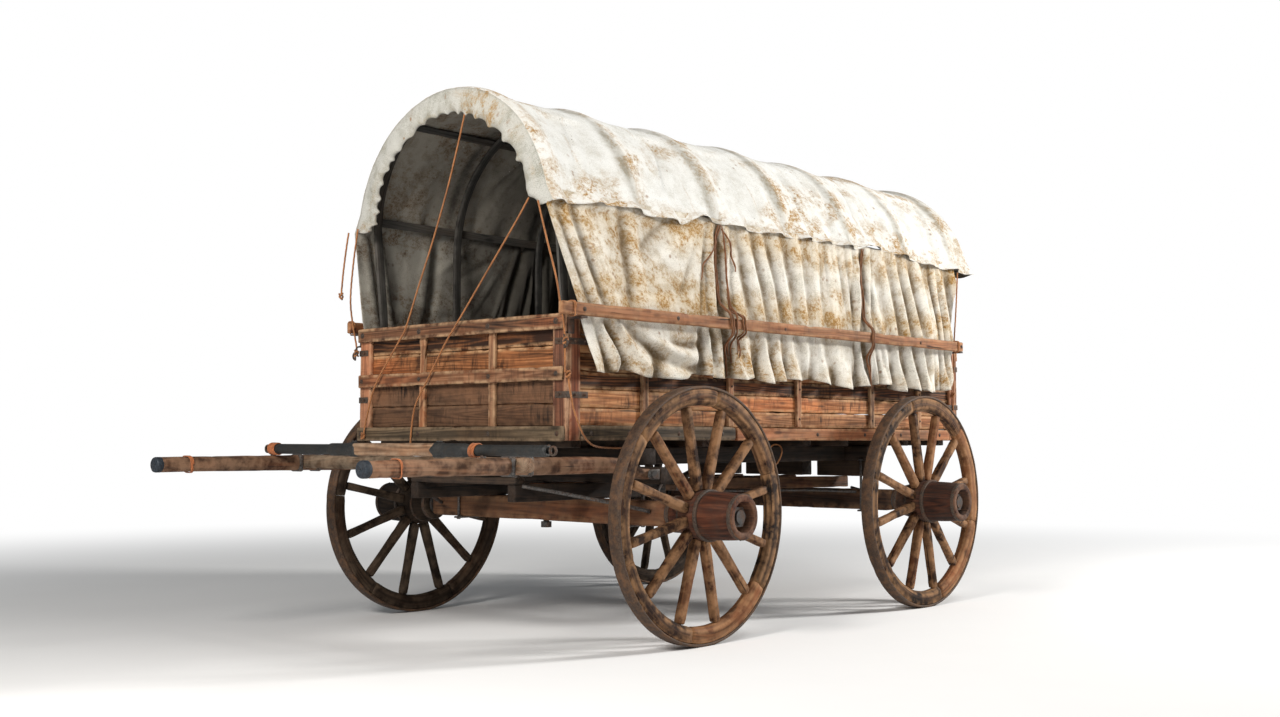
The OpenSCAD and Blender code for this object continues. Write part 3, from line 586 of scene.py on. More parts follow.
# painted shade: a dark copy of the curtain cloth for the curtains' inner faces, darker still towards the tail
M_INNER_C_PAINTED_SHADE = canvas("m_inner_curtain_painted_shade", (0.48, 0.45, 0.385), (0.31, 0.29, 0.245), ochre=(0.20, 0.12, 0.06), rust=(0.095, 0.050, 0.026), ochre_amt=0.8, fold_shade_and_grime=(0.050, 0.047, 0.040), fold_shade_and_grime_amt=0.9, grit_col=(0.09, 0.086, 0.072), tint_amt=0.0, inside_painted_shade=(0.94, 0.20, 1.02))
M_ROPE = rope_mat("m_rope")
M_LASH = rope_mat("m_lashing", base=(0.42, 0.14, 0.05), dark=(0.12, 0.035, 0.015))
M_STRAP = rope_mat("m_strap", base=(0.20, 0.085, 0.035), dark=(0.06, 0.025, 0.012))

ROPE_R = 0.0045

# ------------------------------------------------------------------ free ropes
SLACK = [(1.243, 0.702, 1.150), (1.241, 0.707, 1.110), (1.234, 0.712, 1.060), (1.222, 0.715, 1.010), (1.202, 0.719, 0.960), (1.174, 0.717, 0.916), (1.138, 0.711, 0.884),
         (1.096, 0.699, 0.866), (1.046, 0.681, 0.857), (0.990, 0.664, 0.853), (0.930, 0.652, 0.851), (0.870, 0.649, 0.850), (0.810, 0.648, 0.850), (0.755, 0.646, 0.848)]
TAIL = [(1.326, -0.690, 1.878), (1.328, -0.697, 1.840), (1.330, -0.705, 1.790), (1.332, -0.713, 1.735), (1.334, -0.720, 1.680), (1.335, -0.726, 1.625), (1.336, -0.731, 1.575)]


def knot(B, c, ax, r=0.011, mat=0):
    """A small overhand knot: a few turns of rope about ax."""
    c, ax = np.asarray(c, float), np.asarray(ax, float) / np.linalg.norm(ax)
    u = np.cross(ax, [0.2, 0.5, 0.8])
    u /= np.linalg.norm(u)
    v = np.cross(ax, u)
    t = np.linspace(0, 1, 60)
    a = t * 2 * PI * 2.4
    p = c + (r * np.cos(a))[:, None] * u + (r * np.sin(a))[:, None] * v + ((t - 0.5) * 0.026 + 0.006 * np.sin(a * 1.3))[:, None] * ax
    tube(B, p, ROPE_R * 1.02, n=8, twist=0.2, mat=mat)


def rope_piece(name, pts, body, replaces=None, **kw):
    B = Bag()
    path = spline(pts, 0.0035)
    tube(B, path, ROPE_R, n=12, twist=0.22)
    ob = B.make(name, M_ROPE, body, replaces=replaces or ())
    return ob, path


B = Bag()
knot(B, SLACK[-1], (1, 0, 0))
k1 = B.make("slack_rope_knot", M_ROPE, "wagon")
B = Bag()
knot(B, TAIL[-1], (0, 0.1, -1), r=0.008)
k2 = B.make("rope_tail_knot", M_ROPE, "wagon")


ob, path = rope_piece("slack_rope", SLACK, "wagon", ("left_slack_rope",))
ob, path = rope_piece("loose_tail", TAIL, "wagon", ("right_rope_tail",))

# ------------------------------------------------------------------ stage and light
me = bpy.data.meshes.new("floor")
me.from_pydata([(-60, -60, 0), (60, -60, 0), (60, 60, 0), (-60, 60, 0)], [], [(0, 1, 2, 3)])
floor = bpy.data.objects.new("floor", me)
sc.collection.objects.link(floor)
m, nt = mat_new("m_floor_stage")
n = N(nt)
fl = n.noise(n("TexCoord").outputs["Object"], scale=3.0, detail=2)
finish_mat(nt, n, n.mix(fl, (0.90, 0.90, 0.90), (0.92, 0.92, 0.92)), 0.9, spec=0.1)
far = n("VectorMath", {0: n("TexCoord").outputs["Object"]}, operation="LENGTH").outputs["Value"]
far = n("MapRange", {"Value": far, "From Min": 3.0, "From Max": 9.0}, interpolation_type="SMOOTHSTEP").outputs[0]
glow = n("Emission", {"Color": (1, 1, 1, 1), "Strength": 1.0})
both = n("MixShader", {0: far, 1: nt.nodes["Principled BSDF"].outputs[0], 2: glow.outputs[0]})
nt.links.new(both.outputs[0], [k for k in nt.nodes if k.type == "OUTPUT_MATERIAL"][0].inputs["Surface"])
me.materials.append(m)

w = bpy.data.worlds.new("world")
sc.world = w
w.use_nodes = True
wn = w.node_tree
wn.nodes.clear()
N_ = wn.nodes.new
out, lit, seen, mixs, path = N_("ShaderNodeOutputWorld"), N_("ShaderNodeBackground"), N_("ShaderNodeBackground"), N_("ShaderNodeMixShader"), N_("ShaderNodeLightPath")
lit.inputs[0].default_value = (0.93, 0.97, 1.0, 1)
lit.inputs[1].default_value = 0.205
seen.inputs[0].default_value = (1, 1, 1, 1)
seen.inputs[1].default_value = 1.0
wn.links.new(path.outputs["Is Camera Ray"], mixs.inputs[0])
wn.links.new(lit.outputs[0], mixs.inputs[1])
wn.links.new(seen.outputs[0], mixs.inputs[2])
wn.links.new(mixs.outputs[0], out.inputs[0])
sc.view_settings.view_transform = "Standard"


def area_light(name, loc, target, size, power, color=(1, 1, 1)):
    d = bpy.data.lights.new(name, "AREA")
    d.shape, d.size, d.size_y, d.energy, d.color = "RECTANGLE", size[0], size[1], power, color
    o = bpy.data.objects.new(name, d)
    o.location = loc
    o.rotation_euler = (Vector(target) - Vector(loc)).to_track_quat("-Z", "Y").to_euler()
    sc.collection.objects.link(o)
    return o


area_light("key", (-6.8, 5.8, 4.5), (-0.3, 0.4, 1.3), (1.4, 1.4), 800, (1.0, 0.98, 0.95))
area_light("top", (-0.6, 3.8, 6.6), (-0.2, 0.3, 1.5), (2.0, 2.0), 90, (1.0, 0.99, 0.97))
area_light("front", (6.0, 1.7, 3.6), (1.1, -0.1, 1.2), (1.4, 1.4), 270, (1.0, 0.96, 0.91))

# ------------------------------------------------------------------ box
GAP = 0.0022


def joints(z0, z1, k):
    return np.linspace(z0, z1, k + 1)


for s, side in ((1, "left"), (-1, "right")):
    B = Bag()
    T = (lambda V: V) if s > 0 else (lambda V: V * [1, -1, 1])
    zs = [BZ0, 0.944] + list(joints(0.944, BZ1, 6))[1:]
    for i in range(len(zs) - 1):
        o = (i * 37 % 5) * 0.0007
        block(B, (BX0, HW - 0.0245, zs[i] + GAP / 2), (BX1, HW - 0.0005 + o - 0.0014, zs[i + 1] - GAP / 2), T=T, e=0.006, side=0.012, seg=0.03, warp=0.0015, pillow=0.003, chips=1.1)
    B.make(side + "_planks", M_BOARD, "wagon", (side + "_side_boards",))
    B = Bag()
    for x in (0.742, 0.122, -0.441, -1.130, -1.630):
        block(B, (x - 0.020, HW + 0.0005, 0.949), (x + 0.020, HW + 0.020, 1.408), T=T, e=0.004, side=0.012, seg=0.025, chips=1.4)
    B.make(side + "_battens", M_FRAME, "wagon", (side + "_side_stakes",))
    B = Bag()
    bar(B, [(0.090, HW + 0.0135, 0.915), (0.123, HW + 0.0135, 0.915), (BX1 - 0.069, HW + 0.0135, 0.915)], 0.024, [0.052, 0.064, 0.064], up=(0, 0, 1), e=0.006, endr=0.012, side=0.014, T=T, mat=1)
    block(B, (BX0 + 0.069, HW + 0.0005, BZ0), (0.078, HW + 0.020, 0.942), T=T, e=0.005, side=0.014, chips=1.5)
    B.make(side + "_lower_rail", [M_RAIL, M_MOSS], "wagon", (side + "_bottom_rail",))

for nm, x0, x1, fx in (("front", BX1 - 0.025, BX1, 1), ("tail", BX0, BX0 + 0.025, -1)):
    B = Bag()
    zs = [BZ0, 0.944, 1.040, 1.150, 1.285, BZ1]
    for i in range(len(zs) - 1):
        o = (i * 29 % 5) * 0.0006
        a, b = (x0 + 0.0005, x1 - 0.0015 + o) if fx > 0 else (x0 + 0.0015 - o, x1 - 0.0005)
        # the rows below 1.1 m take the board wood with painted shade
        block(B, (a, -HW + 0.026, zs[i] + GAP / 2), (b, HW - 0.026, zs[i + 1] - GAP / 2), ax=1, e=0.006, side=0.012, seg=0.03, warp=0.001, pillow=0.003, chips=1.1, mat=1 if zs[i] < 1.1 else 0)
    B.make(nm + "_planks", [M_BOARD, M_BOARD_LO_PAINTED_SHADE], "wagon", (nm + "_boards",))
    B = Bag()
    X = (lambda a, b: (BX1 + 0.0002 + a, BX1 + 0.0002 + b)) if fx > 0 else (lambda a, b: (BX0 - 0.0002 - b, BX0 - 0.0002 - a))
    for y in (-0.235, 0.235):
        a, b = X(0.0005, 0.0195)
        block(B, (a, y - 0.020, BZ0 + 0.002), (b, y + 0.020, BZ1), ax=2, e=0.004, side=0.012, seg=0.025, chips=1.4)
    for z0, z1, hl, mt in ((0.880, 0.944, 0.690, 1), (1.133, 1.194, 0.684, 0), (1.350, 1.416, 0.690, 0)):
        a, b = X(0.020, 0.040)
        block(B, (a, -hl, z0), (b, hl, z1), ax=1, e=0.006, side=0.012, seg=0.025, warp=0.002, chips=1.6, mat=mt)
    B.make(nm + "_frame_wood", [M_FRAME, M_MOSS], "wagon", (nm + "_frame",))

B = Bag()
for x0, fx in ((BX1, 1), (BX0, -1)):
    for s in (1, -1):
        T = lambda V, x0=x0, fx=fx, s=s: (V * [fx, s, 1]) + [x0, 0, 0]
        block(B, (0.0004, HW - 0.060, BZ0), (0.020, HW + 0.019, 1.418), T=T, e=0.004, side=0.012, seg=0.025, chips=1.5)
        block(B, (-0.066, HW + 0.0005, BZ0), (-0.0002, HW + 0.020, 1.416), T=T, e=0.004, side=0.012, seg=0.025, chips=1.5)
B.make("corner_post_wood", M_RED, "wagon", ("corner_posts",))

B = Bag()
for s, x1 in ((1, 1.355), (-1, 1.265)):
    T = lambda V, s=s: V * [1, s, 1]
    bar(B, [(-1.990, 0.765, 1.428), (x1, 0.765, 1.428)], 0.028, 0.054, e=0.006, side=0.012, seg=0.03, warp=0.002, chips=1.3, T=T)
B.make("curtain_rail_wood", M_RAIL, "wagon", ("curtain_rails",))

B = Bag()
w9 = 2 * (HW - 0.026) / 9
for i in range(9):
    y = -HW + 0.026 + i * w9
    block(B, (BX0 + 0.027, y + 0.001, 0.9005), (BX1 - 0.027, y + w9 - 0.001, 0.9245), e=0.003, side=0.03, seg=0.06, chips=1)
B.make("floor_planks", M_FLOOR, "wagon", ("floor_boards",))

# the beams under the bed take near-black wood with painted shade
B = Bag()
for x in (1.130, FX, 0.250, -0.170, -0.590, -0.940, RX, -1.560, -1.960):
    block(B, (x - 0.032, -0.640, 0.852), (x + 0.032, 0.640, 0.8995), ax=1, e=0.004, side=0.03, seg=0.05)
B.make("sill_beams", M_GEAR_PAINTED_SHADE, "wagon", ("cross_sills",))
B = Bag()
for s in (1, -1):
    block(B, (RX + 0.061, s * 0.470 - 0.030, 0.772), (FX - 0.061, s * 0.470 + 0.030, 0.8515), e=0.005, side=0.03, seg=0.05)
B.make("bearer_beams", M_GEAR_PAINTED_SHADE, "wagon", ("side_bearers",))

# ------------------------------------------------------------------ undercarriage
# bolsters and hounds under the bed take near-black wood with painted shade
B = Bag()
block(B, (FX - 0.060, -0.640, 0.772), (FX + 0.060, 0.640, 0.8515), ax=1, e=0.006, side=0.03)
B.make("front_bolster_beam", M_GEAR_PAINTED_SHADE, "wagon", ("front_bolster",))
B = Bag()
block(B, (RX - 0.060, -0.640, 0.7725), (RX + 0.060, 0.640, 0.8515), ax=1, e=0.006, side=0.03)
for s in (1, -1):
    block(B, (RX - 0.050, min(s * 0.300, s * 0.640), 0.687), (RX + 0.050, max(s * 0.300, s * 0.640), 0.772), ax=1, e=0.005, side=0.03)
block(B, (RX - 0.050, -0.200, 0.687), (RX + 0.050, 0.200, 0.772), ax=1, e=0.005, side=0.03)
B.make("rear_bolster_beams", M_GEAR_PAINTED_SHADE, "wagon", ("rear_bolster",))
B = Bag()
block(B, (RX - 0.130, -0.038, 0.622), (FX + 0.080, 0.038, 0.682), e=0.006, side=0.03)
B.make("reach_pole", M_AXLE, "wagon", ("reach",))
B = Bag()
for s in (1, -1):
    P = [(RX - 0.120, s * 0.370, 0.652), (RX + 0.040, s * 0.370, 0.652), (RX + 0.700, s * 0.062, 0.652)]
    bar(B, P, [0.060, 0.060, 0.045], 0.060, e=0.006, side=0.03)
B.make("rear_hound_beams", M_AXLE, "wagon", ("rear_hounds",))
for nm, x, body in (("front", FX, "fore_carriage"), ("rear", RX, "wagon")):
    B = Bag()
    ys = [-0.780, -0.768, -0.5, 0, 0.5, 0.768, 0.780]
    bar(B, [(x, y, AZ) for y in ys], [0.076, 0.100, 0.100, 0.100, 0.100, 0.100, 0.076], [0.090, 0.110, 0.110, 0.110, 0.110, 0.110, 0.090], e=0.012, side=0.025, seg=0.03, chips=1.3)
    B.make(nm + "_axle_wood", M_AXLE, body, (nm + "_axle_beam",))
B = Bag()
for s in (1, -1):
    block(B, (FX - 0.470, s * 0.326 - 0.026, 0.6155), (FX + 0.540, s * 0.326 + 0.026, 0.690), e=0.006, side=0.025)
B.make("front_hound_beams", M_GEAR_PAINTED_SHADE, "fore_carriage", ("front_hounds",))
B = Bag()
block(B, (FX - 0.470, -0.370, 0.6905), (FX - 0.410, 0.370, 0.722), ax=1, e=0.005, side=0.025)
block(B, (FX + 0.480, -0.352, 0.6905), (FX + 0.540, 0.352, 0.722), ax=1, e=0.005, side=0.025)
B.make("hound_bar_beams", M_GEAR_PAINTED_SHADE, "fore_carriage", ("hound_bars",))

# ------------------------------------------------------------------ shafts
B = Bag()
for s in (1, -1):
    T = lambda V, s=s: V * [1, s, 1]
    P = [(FX + 0.075, 0.707, 0.735), (FX + 0.130, 0.707, 0.736), (FX + 0.250, 0.707, 0.774), (FX + 0.400, 0.707, 0.779), (FX + 0.700, 0.707, 0.780), (FX + 0.9, 0.707, 0.781), (2.13, 0.707, 0.781), (2.284, 0.707, 0.780)]
    bar(B, P, [0.062, 0.068, 0.070, 0.070, 0.070, 0.068, 0.0645, 0.0645], [0.046, 0.046, 0.066, 0.070, 0.074, 0.070, 0.0650, 0.0645], e=0.026, side=0.02, seg=0.025, chips=0.6, rough=1.4, T=T)
ob_sh = B
B.make("shaft_poles", M_SHAFT, "draught_shafts", ("left_shaft", "right_shaft"))
B = Bag()
for s in (1, -1):
    T = lambda V, s=s: np.stack([V[:, 2] + 2.280, V[:, 0] + s * 0.707, V[:, 1] + 0.780], 1)
    lathe(B, [(0.0300, 0.0), (0.0322, 0.001), (0.0330, 0.003), (0.0330, 0.022), (0.0315, 0.0280), (0.0265, 0.0316), (0.0120, 0.0320), (0.004, 0.0320), (0.004, 0.010), (0.0300, 0.010)], n=40, T=T, rough=0.0008)
B.make("shaft_ferrules", M_CAP, "draught_shafts")
B = Bag()
block(B, (FX + 0.831, -0.770, 0.755), (FX + 0.909, 0.770, 0.815), ax=1, e=0.020, side=0.02, seg=0.03, chips=0.8, warp=0.002)
B.make("splinter_bar_wood", M_PALE, "draught_shafts", ("splinter_bar",))

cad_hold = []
# ------------------------------------------------------------------ wheels
def wheel_T(x, s):
    """Local (x, y, outward) to the row frame."""
    if s > 0:
        return lambda V: np.stack([V[:, 0] + x, V[:, 2] + TRACK, -V[:, 1] + AZ], 1)
    return lambda V: np.stack([V[:, 0] + x, -V[:, 2] - TRACK, V[:, 1] + AZ], 1)


def ring(B, r0, r1, h, a0, a1, e, n, T, rough=1.0, chamfer=0.0, mat=0):
    """Part of a ring from angle a0 to a1, radius r0 to r1, half width h; open ended unless it is the whole turn."""
    r = rng()
    full = a1 - a0 > 2 * PI - 1e-6
    c = chamfer
    pts = [(r1 - e, -h), (r1, -h + e), (r1, 0), (r1, h - e), (r1 - e, h), ((r0 + r1) / 2, h)]
    pts += [(r0 + c + 0.004, h), (r0 + c * 0.5, h - c * 0.55), (r0 + 0.001, h - c - 0.003), (r0, 0), (r0 + 0.001, -h + c + 0.003), (r0 + c * 0.5, -h + c * 0.55), (r0 + c + 0.004, -h), ((r0 + r1) / 2, -h)] if c else \
           [(r0 + e, h), (r0, h - e), (r0, 0), (r0, -h + e), (r0 + e, -h), ((r0 + r1) / 2, -h)]
    ed = [1, 1, 0.2, 1, 1, 0.15] + ([1, 0.4, 1, 0.1, 1, 0.4, 1, 0.15] if c else [1, 1, 0.1, 1, 1, 0.15])
    pts, ed = np.array(pts), np.array(ed)
    cen = pts.mean(0)
    A = np.linspace(a0, a1, n + 1)
    if full:
        A = A[:-1]
    off = r.rand(3) * 30
    G = np.stack([A[:, None] * (r0 + r1) / 2 + off[0] + 0 * pts[None, :, 0], 0 * A[:, None] + pts[None, :, 0] + off[1], 0 * A[:, None] + pts[None, :, 1] + off[2]], -1)
    dirs = (pts - cen) / np.linalg.norm(pts - cen, axis=1)[:, None]
    d = rough * (0.0011 * fbm(G * [5, 40, 40], 3) + 0.0006 * fbm(G * [14, 120, 120], 2)) - rough * 0.003 * ed[None] * smooth(0.25, 0.6, fbm(G * [13, 7, 7], 3))
    R = pts[None, :, 0] + d * dirs[None, :, 0]
    Z = pts[None, :, 1] + d * dirs[None, :, 1]
    if not full:
        ins = np.zeros(len(A))
        ins[0] = ins[-1] = 0.003
        R = R - ins[:, None] * dirs[None, :, 0]
        Z = Z - ins[:, None] * dirs[None, :, 1]
    V = np.stack([R * np.cos(A)[:, None], R * np.sin(A)[:, None], Z], -1).reshape(-1, 3)
    E = np.repeat(ed[None], len(A), 0)
    if not full:
        E = np.maximum(E, np.array([1] + [0] * (len(A) - 2) + [1])[:, None])
    B.add(T(V), loft_faces(len(A), len(pts), cap=not full, closed=full), G, r.rand(), E, mat)


for nm, (x, s) in WHEELS.items():
    T = wheel_T(x, s)
    body = nm + "_wheel"
    B = Bag()
    ring(B, WR - 0.012, WR, 0.032, 0, 2 * PI, 0.003, 144, T, rough=0.8)
    B.make(nm + "_iron_tyre", M_TYRE, body, (nm + "_tyre",))
    B = Bag()
    ph = rng().rand() * 2 * PI if nm != "front_left" else 0.3
    ph = {"front_left": 0.35, "front_right": 0.1, "rear_left": 0.8, "rear_right": 0.5}[nm]
    for i in range(6):
        a = ph + i * PI / 3
        ring(B, WR - 0.084, WR - 0.0121, 0.029, a + 0.0015, a + PI / 3 - 0.0015, 0.004, 22, T, rough=1.0, chamfer=0.016)
    # the right wheels take the wheel wood with painted shade
    B.make(nm + "_felloes", M_WHEEL if s > 0 else M_WHEEL_PAINTED_SHADE, body, (nm + "_rim",))
    B = Bag()
    for i in range(12):
        a = (i + 0.4) * PI / 6
        c, d = math.cos(a), math.sin(a)
        rs = [0.1095, 0.135, 0.19, 0.26, 0.34, 0.40, 0.445, 0.4755]
        ws = [0.046, 0.047, 0.043, 0.038, 0.0355, 0.036, 0.038, 0.036]
        hs = [0.040, 0.042, 0.046, 0.046, 0.044, 0.043, 0.044, 0.040]
        bar(B, [(q * c, q * d, 0) for q in rs], ws, hs, up=(0, 0, 1), e=0.013, side=0.02, seg=0.022, chips=0.5, rough=0.8, T=T)
    B.make(nm + "_spoke_set", M_SPOKE if s > 0 else M_WHEEL_PAINTED_SHADE, body, (nm + "_spokes",))
    B = Bag()
    zi, zo = 0.801 - TRACK, 1.184 - TRACK
    lathe(B, [(0.0305, zi), (0.072, zi), (0.076, zi + 0.004), (0.080, zi + 0.04), (0.094, -0.050), (0.106, -0.042), (0.1085, -0.036), (0.1085, 0.036), (0.106, 0.042), (0.1035, 0.066),
              (0.1035, 0.110), (0.102, 0.150), (0.0995, zo - 0.042), (0.096, zo - 0.028), (0.096, zo - 0.006), (0.093, zo - 0.001), (0.088, zo), (0.070, zo - 0.001), (0.066, zo - 0.006), (0.066, zo - 0.058), (0.0305, zo - 0.058)], n=56, T=T, rough=0.0016)
    B.make(nm + "_nave", M_HUB if s > 0 else M_WHEEL_PAINTED_SHADE, body, (nm + "_hub",))
    B = Bag()
    for z0, z1, r0 in ((0.044, 0.062, 0.1035), (zo - 0.024, zo - 0.005, 0.0955), (zi + 0.008, zi + 0.026, 0.0785), (-0.058, -0.044, 0.094)):
        th = 0.010 if z0 == 0.044 else 0.0028
        lathe(B, [(r0 - 0.004, z0), (r0 + th - 0.001, z0), (r0 + th, z0 + 0.0015), (r0 + th, z1 - 0.0015), (r0 + th - 0.001, z1), (r0 - 0.004, z1)], n=56, T=T, rough=0.0005)
    lathe(B, [(0.0305, zo - 0.0585), (0.0305, zo - 0.050), (0.044, zo - 0.050), (0.045, zo - 0.0585)], n=32, T=T)
    # nail heads round the end band and along the tyre
    for i in range(10):
        a = i * 2 * PI / 10 + 0.2
        TT = lambda V, a=a: T(np.stack([(V[:, 2] + 0.0975) * math.cos(a) - V[:, 0] * math.sin(a), (V[:, 2] + 0.0975) * math.sin(a) + V[:, 0] * math.cos(a), V[:, 1] + zo - 0.0145], 1))
        lathe(B, [(0.0001, 0.0), (0.004, 0.0), (0.0038, 0.0018), (0.002, 0.0028), (0.0001, 0.003)], n=8, T=TT)
    for i in range(12):
        a = ph + i * PI / 6 + 0.26
        for k in (-1, 1):
            TT = lambda V, a=a, k=k: T(np.stack([(V[:, 2] + WR - 0.0006) * math.cos(a + 0.02 * k) - V[:, 0] * math.sin(a), (V[:, 2] + WR - 0.0006) * math.sin(a + 0.02 * k) + V[:, 0] * math.cos(a), V[:, 1] + k * 0.012], 1))
            lathe(B, [(0.0001, -0.002), (0.0062, -0.002), (0.0060, 0.0004), (0.004, 0.0012), (0.0001, 0.0014)], n=10, T=TT)
    B.make(nm + "_wheel_irons", M_RUST, body)

# ------------------------------------------------------------------ bows and laths
B = Bag()
for xf, xc in BOWS:
    lean = math.atan2(xc - xf, RZ + 0.620 - 0.990)
    ca, sa = math.cos(lean), math.sin(lean)
    prof, ups = [], []
    rm = 0.610
    for z in np.linspace(0.992, RZ, 14)[:-1]:
        prof.append((rm, z))
        ups.append((1, 0))
    for a in np.linspace(0, PI, 40):
        prof.append((rm * math.cos(a), RZ + rm * math.sin(a)))
        ups.append((math.cos(a), math.sin(a)))
    for z in np.linspace(RZ, 0.992, 14)[1:]:
        prof.append((-rm, z))
        ups.append((-1, 0))
    P = [(xf + (z - 0.990) * sa, y, 0.990 + (z - 0.990) * ca) for y, z in prof]
    U = [(w * sa, v, w * ca) for v, w in ups]
    bar(B, P, 0.042, 0.018, up=U, e=0.005, side=0.014, seg=0.03, chips=0.5)
B.make("bow_hoops", M_BOW, "wagon", ("bows",))
B = Bag()
for a in (10, 58, 122, 170):
    c, d = math.cos(math.radians(a)), math.sin(math.radians(a))
    bar(B, [(RX0 + 0.060, 0.627 * c, RZ + 0.627 * d), (RX1 - 0.050, 0.627 * c, RZ + 0.627 * d)], 0.040, 0.012, up=(0, c, d), e=0.003, side=0.02, seg=0.05, chips=0.6)
B.make("lath_strips", M_BOW, "wagon", ("purlins",))

# ------------------------------------------------------------------ canvas roof
def hoop_x(z):
    """The bows' places along the wagon at height z."""
    t = np.clip((np.asarray(z, float) - 0.990) / (RZ + 0.620 - 0.990), 0, 1)
    return np.stack([f + (c - f) * t for f, c in BOWS][::-1], -1)


FL = math.hypot(0.040, 0.080)
ARC = math.radians(156) * RR
SL = ARC + 2 * FL
# how far the hem is lifted above the lowest line, along the wagon
HEM = np.array([(-2.32, 0.0), (-2.13, 0.020), (-1.84, 0.013), (-1.62, 0.040), (-1.47, 0.054), (-1.18, 0.072), (-1.05, 0.040), (-0.87, 0.048), (-0.34, 0.036), (-0.11, 0.032), (0.19, 0.042),
                (0.30, 0.058), (0.44, 0.005), (0.69, 0.018), (0.88, 0.037), (1.05, 0.020), (1.20, 0.008), (1.32, 0.0)])


def roof_point(x, s, side_seed=0.0):
    """x along the wagon, s from 0 at the left hem to SL at the right hem. Returns the point and the outward normal of the plain shape."""
    sm = np.minimum(s, SL - s)
    sgn = np.where(s <= SL / 2, 1.0, -1.0)
    f = np.clip(sm / FL, 0, 1)
    lift = np.interp(x + np.where(sgn < 0, 0.31, 0.0), HEM[:, 0], HEM[:, 1])
    y0, z0 = 0.6735 - 0.35 * lift, 1.882 + lift
    y1, z1 = RR * math.cos(math.radians(12)) - 0.001, RZ + RR * math.sin(math.radians(12))
    phi = math.radians(12) + np.clip(sm - FL, 0, None) / RR
    on_arc = sm > FL
    y = np.where(on_arc, (RR - 0.001) * np.cos(phi), y0 + (y1 - y0) * f)
    z = np.where(on_arc, RZ + (RR - 0.001) * np.sin(phi), z0 + (z1 - z0) * f)
    ny = np.where(on_arc, np.cos(phi), math.cos(math.radians(20)))
    nz = np.where(on_arc, np.sin(phi), math.sin(math.radians(20)))
    # sag between the bows: a hanging curve in each bay, so that the cloth breaks sharply over each bow
    hx = hoop_x(z)
    k = np.clip((x[..., None] >= hx).sum(-1) - 1, 0, hx.shape[-1] - 2)
    a = np.take_along_axis(hx, k[..., None], -1)[..., 0] + 0.017
    b = np.take_along_axis(hx, (k + 1)[..., None], -1)[..., 0] - 0.017
    t = np.clip((x - a) / (b - a), 0, 1)
    amp = np.array([0.031, 0.041, 0.034, 0.045, 0.040, 0.032])[k] * (0.85 + 0.5 * fbm(np.stack([k * 3.1, s * 1.7, 0 * s], -1), 2))
    lean = np.array([0.10, -0.12, 0.06, -0.16, 0.12, -0.05])[k]
    tt = np.clip(t + lean * np.sin(PI * t), 0, 1)
    deg = np.degrees(phi)
    hold = np.minimum(np.abs(deg - 10), np.abs(deg - 58))
    lath = 1 - 0.60 * np.exp(-((hold / 6.5) ** 2))
    valley = 4 * tt * (1 - tt)
    d = -amp * valley * lath * smooth(0, 0.22, sm)
    # folds that sweep from the crown of a bow down to the foot of the next
    slant = (t - 0.15) - 0.55 * (1 - np.clip(sm / 0.95, 0, 1))
    g = np.stack([slant * 2.3 + k * 5.1, s * 0.55, 0 * s + side_seed], -1)
    w = fbm(g + 0.35 * np.stack([fbm(g * 1.3 + 4, 2)] * 3, -1), 2)
    d += -0.015 * np.exp(-((w / 0.085) ** 2)) * np.sin(PI * t) ** 0.7 * smooth(0.03, 0.35, sm) * lath
    g1 = np.stack([slant * 6.5 + k * 2.7, s * 1.6, 0 * s + 1.7], -1)
    w1 = fbm(g1, 2)
    d += -0.005 * np.exp(-((w1 / 0.10) ** 2)) * np.sin(PI * t) ** 0.5
    g2 = np.stack([x * 9 + 3.5 * s * sgn, s * 4.0, 0 * s + 3.3], -1)
    d += 0.0030 * fbm(g2, 3)
    # flutes that run up from the hem
    fl = np.exp(-sm / 0.15)
    flute = np.sin(2 * PI * x / 0.26 + 2.5 * vn(np.stack([x * 2, 0 * s, 0 * s + 5], -1)) + sgn)
    d += fl * (0.018 * flute + 0.005 * np.sin(2 * PI * x / 0.12 + 4 * vn(np.stack([x * 3, 0 * s, 0 * s + 9], -1))))
    d = np.where(sm < 0.10, np.maximum(d, -0.012), d)
    d = np.maximum(d, np.where(hold < 5, -0.0125, -0.045))
    d = np.minimum(d, 0.020 * np.exp(-sm / 0.12) + 0.004)
    # depth (the sag) and front (a band just in front of each bow) become painted shade in the cloth's colour
    roof_point.depth = np.clip(-d / 0.03, 0, 1)
    roof_point.front = np.exp(-(((t - 0.055) / 0.060) ** 2)) * (0.80 + 0.7 * vn(np.stack([s * 3.1, k * 1.7, 0 * s], -1)))
    roof_point.ridge = np.exp(-((np.minimum(t, 1 - t) * (b - a) / 0.035) ** 2))
    return np.stack([x, sgn * (y + d * ny), z + d * nz], -1), np.stack([0 * x, sgn * ny, nz], -1)


